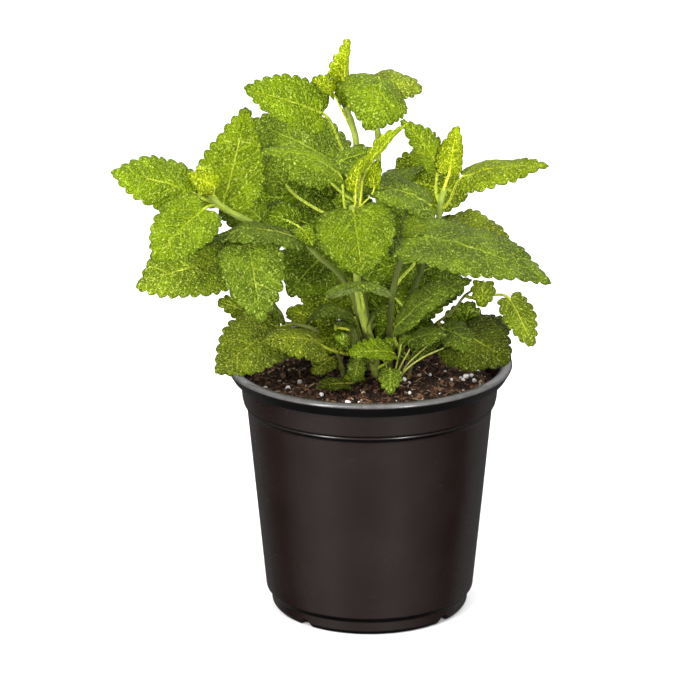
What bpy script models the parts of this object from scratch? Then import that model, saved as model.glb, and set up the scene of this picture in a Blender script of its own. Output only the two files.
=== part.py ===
"""Potted lemon balm: a bushy herb with toothed leaves in a thin round nursery pot.

Metres, +Z up. The origin is on the pot's axis, on the underside of its base.
The pot, the potting mix, every stem and every leaf (blade and leaf stalk in one
piece) are separate closed solids.
"""
import math

import bmesh
import bpy
import numpy as np
from mathutils import Vector

MM = 0.001

# ---- pot ---------------------------------------------------------------
POT_STEPS = 48
POT_HEIGHT = 114.0
RIM_RADIUS = 63.5          # outside of the rolled lip, a 127 mm (5 inch) pot
SKIRT = 1.3                # thickness of the lip's outer skirt
SKIRT_DROP = 6.2           # how far the skirt hangs below the top
NECK_RADIUS = 57.6         # outside of the neck, just below the lip
NECK_BOTTOM = 96.0
SHOULDER_RADIUS = 54.8     # outside of the wall, just below the neck's step
SHOULDER_TOP = 94.0
FOOT_TOP = 8.6             # the wall steps in here
FOOT_WALL_RADIUS = 46.6
FOOT_RADIUS = 44.4
BASE_RADIUS = 42.6
WALL = 1.2
FLOOR = 1.6
DRAIN_COUNT = 4
DRAIN_FIRST_DEG = 49.0     # measured from the front, towards +X
DRAIN_RADIUS = 3.6

# ---- potting mix -------------------------------------------------------
SOIL_STEPS = 40
SOIL_EDGE = 104.0
SOIL_CROWN = 1.2           # how much higher the middle stands
GAP = 0.35                 # clearance between neighbouring pieces

# ---- stems: radius, then points from the root end upwards (mm) ----------
STEMS = {
    "stem_tall": (2.0, [(2, 15, 93), (-1, 14, 121), (-3, 14, 142), (-4, 14, 168), (-5, 12, 193), (-6, 9, 212),
                        (-8, 8, 220), (-11, 8, 228)]),
    "stem_front": (2.1, [(5, 5, 93), (1, -5, 122), (-2, -12, 134), (-5, -20, 152), (-6, -22, 171), (-7, -22, 187),
                         (-8, -21, 191)]),
    "stem_left": (1.7, [(-5, 11, 93), (-10, 13, 127), (-22, 18, 148), (-37, 11, 165), (-50, -3, 177), (-63, -9, 186),
                        (-70, -8, 192)]),
    "stem_left_mid": (1.5, [(-4, 0, 93), (-4, 0, 125), (-7, -7, 145), (-13, -16, 158), (-22, -19, 167), (-28, -20, 174)]),
    "stem_right": (1.8, [(13, 13, 93), (15, 9, 125), (21, 7, 149), (27, 5, 168), (30, 3, 176), (31, 2, 185),
                         (33, 2, 193)]),
    "stem_right_mid": (1.7, [(9, 20, 93), (9, 3, 131), (11, -12, 153), (14, -13, 166), (15, -9, 178), (18, -6, 187)]),
    "stem_right_low": (1.3, [(15, 3, 93), (21, 0, 121), (29, -2, 131), (37, -3, 138), (42, -4, 145), (49, -5, 150)]),
    "stem_left_low": (1.4, [(-9, 3, 93), (-15, 0, 119), (-25, -2, 129), (-36, -3, 132)]),
    "stem_top_right": (1.6, [(7, 28, 93), (5, 27, 133), (4, 20, 177), (4, 15, 206), (3, 12, 221), (3, 11, 230)]),
    "stem_back": (1.8, [(-2, 25, 93), (-3, 38, 130), (-8, 46, 155), (-10, 50, 172), (-11, 52, 184)]),
}

# ---- leaves ------------------------------------------------------------
# name: (stem, how far up it, blade base, blade tip, width, way the upper face looks,
#        arch of the midrib, upward fold of each half in degrees, tone)
LEAVES = {
    "leaf_top": ("stem_tall", 0.985, (-10.5, 10, 235), (-9.5, 6, 258.2), 14, (-0.7, -0.8, 0), 1, 42, "young"),
    "leaf_top_small": ("stem_tall", 0.95, (-16, 3, 235), (-25, -1, 242), 10, (0, -0.6, 0.8), 1, 18, "young"),
    "leaf_top_left": ("stem_tall", 0.80, (-21, 3, 226), (-54, -14, 241), 23, (0, -0.85, 0.55), 2, 10, "young"),
    "leaf_top_right": ("stem_top_right", 0.97, (4, 4, 241), (-1, -16, 223), 32, (0.35, -0.75, 0.55), 5, -16, "young"),
    "leaf_top_right_back": ("stem_top_right", 0.88, (-1, 26, 232), (23, 24, 231), 22, (0.1, -0.45, 0.88), 3, -8, "mid"),
    "leaf_upper_left_back": ("stem_tall", 0.70, (-15, 22, 198), (-53, 34, 214), 34, (0.05, -0.72, 0.66), 3, -4, "mid"),
    "leaf_centre_left": ("stem_front", 0.95, (-14, -22, 206), (-46, -32, 217), 19, (0.05, -0.30, 0.95), 4, -6, "young"),
    "leaf_centre_right": ("stem_front", 0.94, (-2, -16, 204), (17, -22, 228), 12, (-0.45, -0.35, 0.8), 2, 22, "young"),
    "leaf_centre_tip": ("stem_front", 0.985, (-6, -22, 198), (-3, -21, 212), 9, (-0.6, -0.8, 0), 1, 45, "young"),
    "leaf_centre_back": ("stem_tall", 0.66, (-16, -2, 203), (4, -6, 211), 17, (0, -0.45, 0.9), 2, -6, "deep"),
    "leaf_heart": ("stem_front", 0.90, (-7, -27, 190), (-3, -43, 166), 34, (0, -0.92, 0.4), 3, 5, "young"),
    "leaf_umbrella": ("stem_front", 0.52, (-4, -26, 155), (-4, -56, 163), 31, (0, -0.12, 1), 3, -20, "mid"),
    "leaf_left_tip": ("stem_left", 0.985, (-68, -10, 197), (-79, -14, 203), 11, (0, -0.9, 0.4), 1, 15, "young"),
    "leaf_left_outer": ("stem_left", 0.97, (-77, -5, 192), (-112, -12, 203.3), 26, (0, -0.72, 0.7), 3, -6, "young"),
    "leaf_left_upright": ("stem_left", 0.87, (-64, -1, 186), (-54, 14, 225.5), 30, (-0.1, -0.95, 0.25), -3, 8, "young"),
    "leaf_left_bright": ("stem_left", 0.93, (-71.5, -24, 190), (-93.5, -36, 170), 25.5, (-0.1, -0.85, 0.5), 3, 6, "young"),
    "leaf_left_arch": ("stem_left_mid", 0.985, (-31, -20, 176), (-75, -24, 172), 20, (0, -0.2, 1), 7, -12, "mid"),
    "leaf_left_hanging": ("stem_left", 0.76, (-53, -23, 176), (-46.5, -41, 144.5), 27.5, (0.05, -0.85, 0.5), 4, 6, "mid"),
    "leaf_left_lower": ("stem_left", 0.70, (-62, -6, 161.5), (-102, -18, 153), 29, (0, -0.78, 0.62), 5, 4, "mid"),
    "leaf_back_left_a": ("stem_back", 0.80, (-23, 40, 176), (-52, 38, 178), 25, (0, -0.8, 0.6), 3, 4, "deep"),
    "leaf_back_left_b": ("stem_left", 0.34, (-18, 4, 163), (-36, -3, 145), 28, (0, -0.75, 0.66), 3, 4, "deep"),
    "leaf_back_left_c": ("stem_back", 0.62, (-11, 25, 174), (-30, 19, 167), 26, (0, -0.7, 0.7), 3, 4, "deep"),
    "leaf_low_mid_left": ("stem_left_low", 0.55, (-15, 6, 151), (-24, 3, 128), 24, (-0.1, -0.85, 0.5), 2, 6, "deep"),
    "leaf_low_left": ("stem_left_low", 0.97, (-39, -9, 132), (-67, -27, 116.5), 29.5, (-0.05, -0.78, 0.62), 4, 5, "mid"),
    "leaf_low_dusty": ("stem_front", 0.24, (-21, -20, 127), (-47, -31, 132), 20, (0.05, -0.5, 0.86), 4, -16, "mid"),
    "leaf_low_round": ("stem_left_low", 0.32, (-17, -13, 119), (-25, -20, 114), 10, (0, -0.8, 0.6), 1, 8, "mid"),
    "leaf_basal_arch": ("stem_front", 0.28, (-8, -12, 138), (-28, -12, 134), 11, (0, -0.2, 1), 6, -8, "mid"),
    "leaf_front_bright": ("stem_front", 0.18, (10, -12, 121), (-9, -30, 127), 13, (0, -0.65, 0.76), 1, 16, "young"),
    "leaf_front_round": ("stem_front", 0.21, (-5, -23, 121), (-7, -28, 113), 8, (0, -0.9, 0.4), 0, 6, "mid"),
    "leaf_front_low": ("stem_front", 0.15, (9, -14, 114), (9, -27, 107), 10, (0, -0.8, 0.6), 1, 4, "mid"),
    "leaf_soil": ("stem_left_mid", 0.18, (-4, -10, 110), (-12, -16, 108), 8, (0, -0.25, 0.97), 1, -4, "deep"),
    "leaf_right_tip": ("stem_right", 0.985, (35, 2, 200), (38, 2, 220), 14, (-0.3, -1, 0), 0, 34, "young"),
    "leaf_right_upper": ("stem_right", 0.93, (29, 2, 203), (13.5, -7, 225), 17, (0.5, -0.7, 0.5), 2, 10, "young"),
    "leaf_right_outer": ("stem_right", 0.90, (42, -2, 199), (77.5, -10, 205.5), 20, (0, -0.44, 0.9), 2, -14, "young"),
    "leaf_right_back_dark": ("stem_top_right", 0.66, (13, 40, 186), (44, 38, 179), 30, (0, -0.9, 0.45), 2, 6, "deep"),
    "leaf_right_mid_grey": ("stem_right_mid", 0.96, (26, -6, 187), (-4, -12, 196), 24, (0, -0.42, 0.9), 4, -6, "mid"),
    "leaf_right_mid_back": ("stem_right", 0.60, (33, 30, 164), (64, 28, 157.5), 27, (0, -0.55, 0.83), 5, -4, "mid"),
    "leaf_right_big": ("stem_right_mid", 0.80, (15, -26, 179), (77.5, -54, 166), 33.5, (0.12, -0.42, 0.9), 5, -6, "mid"),
    "leaf_right_under": ("stem_right_mid", 0.62, (18, 4, 158), (-3, 5, 151), 22, (0, -0.72, 0.7), 2, 6, "deep"),
    "leaf_right_dark": ("stem_top_right", 0.36, (22, 38, 148), (42, 42, 132), 24, (0, -0.7, 0.7), 2, 4, "deep"),
    "leaf_right_lowmid": ("stem_right_low", 0.30, (13, -20, 137), (44, -30, 160), 21, (0.05, -0.42, 0.9), 3, 4, "mid"),
    "leaf_right_small": ("stem_right_low", 0.985, (50, -11, 153), (49, -15, 143), 10, (0, -0.9, 0.4), 1, 6, "mid"),
    "leaf_right_hang": ("stem_right_low", 0.88, (61.5, -10, 145), (71.5, -18, 126), 14, (0.25, -0.92, 0.3), 2, 6, "mid"),
    "leaf_right_low": ("stem_right_low", 0.62, (38, -8, 129.5), (60.5, -26, 120.5), 32, (0.1, -0.75, 0.65), 4, -10, "deep"),
    "leaf_right_low_small": ("stem_right_low", 0.35, (19, -14, 128), (34, -20, 131), 12, (0, -0.5, 0.85), 2, -6, "mid"),
    "leaf_back_upper": ("stem_back", 0.985, (-16, 58, 184), (-40, 74, 188), 27, (0.1, 0.35, 0.9), 4, 6, "mid"),
    "leaf_back_right": ("stem_back", 0.90, (2, 56, 176), (34, 70, 170), 28, (0.1, 0.4, 0.9), 4, 6, "mid"),
    "leaf_back_low": ("stem_back", 0.55, (-14, 52, 148), (-44, 68, 136), 28, (-0.2, 0.5, 0.85), 5, 6, "deep"),
}
LEAF_THICKNESS = 0.8
STALK_HALF_WIDTH = 1.0
STALK_SEGMENTS = 3
# rows along the blade: share of its length, share of its half width
BLADE_ROWS = ((0.02, 0.46), (0.09, 0.80), (0.20, 0.97), (0.34, 1.0), (0.49, 0.95), (0.63, 0.83), (0.77, 0.64),
              (0.90, 0.37), (1.0, 0.06))
LOBE = 0.12                # how far the blade's base sweeps back beside the stalk
HALF_COLUMNS = 2

MATERIALS = {
    "pot_plastic": ((0.018, 0.016, 0.016), 0.36),
    "potting_mix": ((0.060, 0.028, 0.014), 0.95),
    "stem_green": ((0.360, 0.430, 0.090), 0.55),
    "leaf_young": ((0.280, 0.430, 0.030), 0.50),
    "leaf_mid": ((0.120, 0.240, 0.025), 0.55),
    "leaf_deep": ((0.040, 0.095, 0.012), 0.60),
}


def clear_scene():
    for ob in list(bpy.data.objects):
        bpy.data.objects.remove(ob, do_unlink=True)


def make_materials():
    made = {}
    for name, (colour, rough) in MATERIALS.items():
        mat = bpy.data.materials.new(name)
        mat.use_nodes = True
        bsdf = mat.node_tree.nodes["Principled BSDF"]
        bsdf.inputs["Base Color"].default_value = (*colour, 1.0)
        bsdf.inputs["Roughness"].default_value = rough
        bsdf.inputs["Metallic"].default_value = 0.0
        made[name] = mat
    return made


def new_collection(name):
    col = bpy.data.collections.new(name)
    bpy.context.scene.collection.children.link(col)
    return col


def object_from_bmesh(name, bm, col, mat=None, smooth=False):
    me = bpy.data.meshes.new(name)
    bm.to_mesh(me)
    bm.free()
    if mat is not None:
        me.materials.append(mat)
    if smooth:
        me.shade_smooth()
    ob = bpy.data.objects.new(name, me)
    col.objects.link(ob)
    return ob


# ---- pot ---------------------------------------------------------------
def pot_profile():
    """(radius, height) from the middle of the floor up the inside, over the lip and down the outside."""
    neck_in = NECK_RADIUS - WALL
    top = POT_HEIGHT
    return [
        (0.0, FLOOR),
        (20.0, FLOOR),
        (BASE_RADIUS - 1.2, FLOOR),
        (FOOT_RADIUS - WALL, FLOOR + 1.6),
        (FOOT_RADIUS - WALL, FOOT_TOP - 1.2),
        (FOOT_WALL_RADIUS - WALL, FOOT_TOP + 0.8),
        (0.5 * (FOOT_WALL_RADIUS + SHOULDER_RADIUS) - WALL, 0.5 * (FOOT_TOP + SHOULDER_TOP)),
        (SHOULDER_RADIUS - WALL, SHOULDER_TOP + 0.4),
        (NECK_RADIUS - 1.0 - WALL, NECK_BOTTOM + 0.6),
        (neck_in, top - 6.5),
        (neck_in + 1.0, top - 2.6),
        (neck_in + 2.6, top - 0.6),
        (RIM_RADIUS - 3.2, top),
        (RIM_RADIUS - 1.1, top - 0.1),
        (RIM_RADIUS - 0.2, top - 0.8),
        (RIM_RADIUS, top - 1.7),
        (RIM_RADIUS - 0.5, top - 2.6),
        (RIM_RADIUS - 2.6, top - SKIRT_DROP),
        (RIM_RADIUS - 3.2, top - SKIRT_DROP - 0.3),
        (RIM_RADIUS - 3.7, top - SKIRT_DROP + 0.2),
        (RIM_RADIUS - 0.6 - SKIRT, top - 2.9),
        (RIM_RADIUS - 1.5 - SKIRT, top - 1.5),
        (NECK_RADIUS + 0.9, top - 2.6),
        (NECK_RADIUS, top - 6.4),
        (NECK_RADIUS - 1.0, NECK_BOTTOM + 1.5),
        (NECK_RADIUS - 1.6, NECK_BOTTOM + 0.4),
        (NECK_RADIUS - 1.4, NECK_BOTTOM),
        (NECK_RADIUS - 1.6, NECK_BOTTOM - 0.5),
        (SHOULDER_RADIUS + 0.2, SHOULDER_TOP + 0.5),
        (SHOULDER_RADIUS - 0.2, SHOULDER_TOP - 1.0),
        (0.5 * (FOOT_WALL_RADIUS + SHOULDER_RADIUS), 0.5 * (FOOT_TOP + SHOULDER_TOP)),
        (FOOT_WALL_RADIUS, FOOT_TOP),
        (FOOT_RADIUS, FOOT_TOP - 2.0),
        (FOOT_RADIUS - 0.3, 1.8),
        (BASE_RADIUS, 0.0),
        (20.0, 0.0),
        (0.0, 0.0),
    ]


def turned(name, profile, steps, col, mat):
    """A solid of revolution from a (radius, height) profile in millimetres."""
    bm = bmesh.new()
    verts = [bm.verts.new((r * MM, 0.0, z * MM)) for r, z in profile]
    for a, b in zip(verts, verts[1:]):
        bm.edges.new((a, b))
    ob = object_from_bmesh(name, bm, col, mat)
    screw = ob.modifiers.new("turn", "SCREW")
    screw.axis = "Z"
    screw.angle = math.tau
    screw.steps = steps
    screw.render_steps = steps
    screw.use_merge_vertices = True
    screw.merge_threshold = 0.00001
    screw.use_smooth_shade = True
    return ob


def add_boolean(ob, cutter, name):
    mod = ob.modifiers.new(name, "BOOLEAN")
    mod.operation = "DIFFERENCE"
    mod.object = cutter
    mod.show_viewport = mod.show_render = True


def make_pot(parts, cutters, mats):
    pot = turned("pot", pot_profile(), POT_STEPS, parts, mats["pot_plastic"])
    for i in range(DRAIN_COUNT):
        angle = math.radians(DRAIN_FIRST_DEG + 360.0 * i / DRAIN_COUNT)
        out = Vector((math.sin(angle), -math.cos(angle), 0.0))
        bm = bmesh.new()
        bmesh.ops.create_cone(bm, cap_ends=True, segments=14, radius1=DRAIN_RADIUS * MM, radius2=DRAIN_RADIUS * MM,
                              depth=9.0 * MM)
        cut = object_from_bmesh("drain_cutter_%d" % (i + 1), bm, cutters)
        cut.rotation_mode = "QUATERNION"
        cut.rotation_quaternion = out.to_track_quat("Z", "X")
        cut.location = out * (44.0 * MM)
        cut.hide_render = True
        cut.display_type = "WIRE"
        add_boolean(pot, cut, "drain_%d" % (i + 1))
    return pot


# ---- stems -------------------------------------------------------------
def tube(name, points, radius, col, mat=None):
    curve = bpy.data.curves.new(name, "CURVE")
    curve.dimensions = "3D"
    curve.bevel_depth = radius * MM
    curve.bevel_resolution = 2
    curve.use_fill_caps = True
    spline = curve.splines.new("POLY")
    spline.points.add(len(points) - 1)
    for i, (pt, p) in enumerate(zip(spline.points, points)):
        pt.co = (p[0] * MM, p[1] * MM, p[2] * MM, 1.0)
        pt.radius = 1.0 - 0.28 * i / (len(points) - 1)
    if mat is not None:
        curve.materials.append(mat)
    ob = bpy.data.objects.new(name, curve)
    col.objects.link(ob)
    return ob


def tube_to_mesh(ob, col):
    """The same tube as a welded closed mesh."""
    bpy.context.view_layer.update()
    deps = bpy.context.evaluated_depsgraph_get()
    me = bpy.data.meshes.new_from_object(ob.evaluated_get(deps))
    bm = bmesh.new()
    bm.from_mesh(me)
    bmesh.ops.remove_doubles(bm, verts=bm.verts, dist=0.00001)
    bm.to_mesh(me)
    bm.free()
    name = ob.name
    matrix = ob.matrix_world.copy()
    bpy.data.objects.remove(ob, do_unlink=True)
    me.shade_smooth()
    solid = bpy.data.objects.new(name, me)
    solid.matrix_world = matrix
    col.objects.link(solid)
    return solid


def stem_point(stem, share):
    """Point on a stem's middle line, its direction and its radius there, at a share of its length."""
    radius, points = STEMS[stem]
    pts = [Vector(p) for p in points]
    lengths = [(b - a).length for a, b in zip(pts, pts[1:])]
    left = share * sum(lengths)
    for i, (a, b, size) in enumerate(zip(pts, pts[1:], lengths)):
        if left <= size or i == len(lengths) - 1:
            k = min(left / size, 1.0)
            along = (i + k) / len(lengths)
            return a.lerp(b, k), (b - a).normalized(), radius * (1.0 - 0.28 * along)
        left -= size


# ---- potting mix -------------------------------------------------------
def soil_height(x, y):
    """Top of the mix at x, y (mm): a low mound with small lumps."""
    r = math.hypot(x, y)
    mound = SOIL_CROWN * (1.0 - (r / 56.0) ** 2)
    lumps = 0.45 * math.sin(0.31 * x + 0.7) * math.cos(0.27 * y - 0.4) + 0.3 * math.sin(0.17 * x - 0.41 * y)
    return SOIL_EDGE + mound + lumps * min(1.0, (56.0 - r) / 12.0)


def make_soil(parts, cutters, mats, stem_paths):
    inner = [(r, z) for r, z in pot_profile()[:9]]
    side = []
    for r, z in inner[2:]:
        side.append((r - GAP, z))
    side[0] = (side[0][0], FLOOR + GAP)
    top_r = NECK_RADIUS - 1.0 - WALL + (SOIL_EDGE - NECK_BOTTOM - 0.6) / 10.9 - GAP - 0.1
    profile = [(top_r * k, SOIL_EDGE) for k in (0.0, 0.16, 0.34, 0.52, 0.70, 0.86, 1.0)]
    profile += [(r, z) for r, z in reversed(side)]
    profile += [(20.0, FLOOR + GAP), (0.0, FLOOR + GAP)]
    bm = bmesh.new()
    verts = [bm.verts.new((r * MM, 0.0, z * MM)) for r, z in profile]
    edges = [bm.edges.new((a, b)) for a, b in zip(verts, verts[1:])]
    bmesh.ops.spin(bm, geom=verts + edges, cent=(0, 0, 0), axis=(0, 0, 1), angle=math.tau, steps=SOIL_STEPS,
                   use_merge=True, use_duplicate=False)
    bmesh.ops.remove_doubles(bm, verts=bm.verts, dist=0.00001)
    bmesh.ops.recalc_face_normals(bm, faces=bm.faces)
    for v in bm.verts:
        x, y, z = (c / MM for c in v.co)
        if z > SOIL_EDGE - 0.5 and math.hypot(x, y) < top_r - 0.5:
            v.co.z = soil_height(x, y) * MM
    soil = object_from_bmesh("potting_mix", bm, parts, mats["potting_mix"], smooth=True)
    for name, (radius, points) in stem_paths.items():
        low = Vector(points[0])
        nxt = Vector(points[1])
        run = (nxt - low).normalized()
        path = [low - run * 0.6, low.lerp(nxt, 0.5), low.lerp(nxt, 0.9)]
        cut = tube_to_mesh(tube("socket_" + name, path, radius + 0.45, cutters), cutters)
        cut.hide_render = True
        cut.display_type = "WIRE"
        add_boolean(soil, cut, "socket_" + name)
    return soil


# ---- leaves ------------------------------------------------------------
def leaf_frame(base, tip, face, arch):
    """Midrib point, direction, side and normal at t from 0 (blade base) to 1 (tip)."""
    chord = tip - base
    axis = chord.normalized()
    up = (face - axis * face.dot(axis)).normalized()

    def at(t):
        point = base + chord * t + up * (arch * 4.0 * t * (1.0 - t))
        along = (chord + up * (arch * 4.0 * (1.0 - 2.0 * t))).normalized()
        side = along.cross(up).normalized()
        return point, along, side, side.cross(along).normalized()
    return at


def bezier(p0, p1, p2, p3, t):
    s = 1.0 - t
    point = p0 * s ** 3 + p1 * (3 * s * s * t) + p2 * (3 * s * t * t) + p3 * t ** 3
    along = (p1 - p0) * (3 * s * s) + (p2 - p1) * (6 * s * t) + (p3 - p2) * (3 * t * t)
    return point, along.normalized()


def leaf_rows(stem, share, base, tip, width, face, arch, fold):
    """Cross rows of the leaf, stalk first: (middle, side, normal, half width, sweep, blade share)."""
    base, tip, face = Vector(base), Vector(tip), Vector(face).normalized()
    at = leaf_frame(base, tip, face, arch)
    root, run, radius = stem_point(stem, share)
    out = base - root
    out = out - run * out.dot(run)
    out = out.normalized() if out.length > 0.3 else (face - run * face.dot(run)).normalized()
    start = root + out * (radius + 0.75)
    reach = (base - start).length
    first, heading, side, normal = at(0.0)
    leave = (out * 0.8 + run * 0.55).normalized()
    stalk_half = min(STALK_HALF_WIDTH, 0.09 * width)
    rows = []
    for i in range(STALK_SEGMENTS):
        t = i / STALK_SEGMENTS
        p, d = bezier(start, start + leave * reach * 0.35, first - heading * reach * 0.35, first, t)
        s = (side - d * side.dot(d)).normalized()
        rows.append((p, s, s.cross(d).normalized(), d, stalk_half, 0.0, 0.0))
    rows.append((first, side, normal, heading, stalk_half, 0.0, 0.0))
    length = (tip - base).length
    for t, wide in BLADE_ROWS:
        p, d, s, n = at(t)
        sweep = LOBE * length * max(0.0, 1.0 - t / 0.3)
        rows.append((p, s, n, d, max(0.5 * width * wide, 0.35), sweep, fold))
    return rows


def make_leaf(name, spec, col, mats):
    stem, share, base, tip, width, face, arch, fold, tone = spec
    rows = leaf_rows(stem, share, base, tip, width, face, arch, fold)
    bm = bmesh.new()
    columns = 2 * HALF_COLUMNS
    bmesh.ops.create_grid(bm, x_segments=len(rows) - 1, y_segments=columns, size=1.0)
    for v in bm.verts:
        i = int(round((v.co.x + 1.0) * 0.5 * (len(rows) - 1)))
        k = v.co.y                      # -1 at one margin, 0 on the midrib, 1 at the other
        p, s, n, d, half, sweep, lift = rows[i]
        rise = math.radians(lift) * abs(k)
        across = half * k
        co = p + s * (across * math.cos(rise)) + n * (abs(across) * math.sin(rise)) - d * (sweep * abs(k) ** 1.5)
        v.co = co * MM
    bmesh.ops.recalc_face_normals(bm, faces=bm.faces)
    ob = object_from_bmesh(name, bm, col, mats["leaf_" + tone], smooth=True)
    solid = ob.modifiers.new("thickness", "SOLIDIFY")
    solid.thickness = LEAF_THICKNESS * MM
    solid.offset = 0.0
    solid.use_even_offset = False
    return ob


def main():
    clear_scene()
    mats = make_materials()
    parts = new_collection("potted_lemon_balm")
    cutters = new_collection("cutters")
    make_pot(parts, cutters, mats)
    for name, (radius, points) in STEMS.items():
        tube(name, points, radius, parts, mats["stem_green"])
    make_soil(parts, cutters, mats, STEMS)
    for name, spec in LEAVES.items():
        make_leaf(name, spec, parts, mats)


main()
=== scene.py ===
"""Looks for the potted lemon balm: fine toothed leaves, stems, a thin black pot and potting mix.

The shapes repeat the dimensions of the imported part, in millimetres, and are drawn in its frame.
"""

import math

import bmesh
import bpy
import numpy as np
from mathutils import Matrix, Vector, noise


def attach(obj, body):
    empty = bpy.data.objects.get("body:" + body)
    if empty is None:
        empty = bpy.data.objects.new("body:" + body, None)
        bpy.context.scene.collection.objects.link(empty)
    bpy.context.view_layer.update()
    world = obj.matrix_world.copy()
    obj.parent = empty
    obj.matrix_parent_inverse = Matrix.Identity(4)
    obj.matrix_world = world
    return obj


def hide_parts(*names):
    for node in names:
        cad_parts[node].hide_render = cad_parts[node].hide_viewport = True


MM = 0.001
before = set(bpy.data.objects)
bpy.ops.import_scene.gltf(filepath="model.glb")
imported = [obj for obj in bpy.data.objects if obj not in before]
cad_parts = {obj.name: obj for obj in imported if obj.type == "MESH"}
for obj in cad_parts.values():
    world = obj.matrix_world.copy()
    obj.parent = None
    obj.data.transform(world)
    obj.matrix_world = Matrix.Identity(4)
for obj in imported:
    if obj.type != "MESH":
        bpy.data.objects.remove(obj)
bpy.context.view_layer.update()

# ---- pot ---------------------------------------------------------------
POT_STEPS = 256
POT_HEIGHT = 114.0
RIM_RADIUS = 63.5
SKIRT = 1.3
SKIRT_DROP = 6.2
NECK_RADIUS = 57.6
NECK_BOTTOM = 96.0
SHOULDER_RADIUS = 54.8
SHOULDER_TOP = 94.0
FOOT_TOP = 8.6
FOOT_WALL_RADIUS = 46.6
FOOT_RADIUS = 44.4
BASE_RADIUS = 42.6
WALL = 1.2
FLOOR = 1.6
DRAIN_COUNT = 4
DRAIN_FIRST_DEG = 49.0
DRAIN_RADIUS = 3.6
SOIL_EDGE = 104.0
SOIL_CROWN = 1.2
SOIL_RADIUS = 55.9

# ---- stems: radius, then points from the root end upwards (mm) ----------
STEMS = {
    "stem_tall": (2.0, [(2, 15, 93), (-1, 14, 121), (-3, 14, 142), (-4, 14, 168), (-5, 12, 193), (-6, 9, 212),
                        (-8, 8, 220), (-11, 8, 228)]),
    "stem_front": (2.1, [(5, 5, 93), (1, -5, 122), (-2, -12, 134), (-5, -20, 152), (-6, -22, 171), (-7, -22, 187),
                         (-8, -21, 191)]),
    "stem_left": (1.7, [(-5, 11, 93), (-10, 13, 127), (-22, 18, 148), (-37, 11, 165), (-50, -3, 177), (-63, -9, 186),
                        (-70, -8, 192)]),
    "stem_left_mid": (1.5, [(-4, 0, 93), (-4, 0, 125), (-7, -7, 145), (-13, -16, 158), (-22, -19, 167), (-28, -20, 174)]),
    "stem_right": (1.8, [(13, 13, 93), (15, 9, 125), (21, 7, 149), (27, 5, 168), (30, 3, 176), (31, 2, 185),
                         (33, 2, 193)]),
    "stem_right_mid": (1.7, [(9, 20, 93), (9, 3, 131), (11, -12, 153), (14, -13, 166), (15, -9, 178), (18, -6, 187)]),
    "stem_right_low": (1.3, [(15, 3, 93), (21, 0, 121), (29, -2, 131), (37, -3, 138), (42, -4, 145), (49, -5, 150)]),
    "stem_left_low": (1.4, [(-9, 3, 93), (-15, 0, 119), (-25, -2, 129), (-36, -3, 132)]),
    "stem_top_right": (1.6, [(7, 28, 93), (5, 27, 133), (4, 20, 177), (4, 15, 206), (3, 12, 221), (3, 11, 230)]),
    "stem_back": (1.8, [(-2, 25, 93), (-3, 38, 130), (-8, 46, 155), (-10, 50, 172), (-11, 52, 184)]),
}

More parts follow.
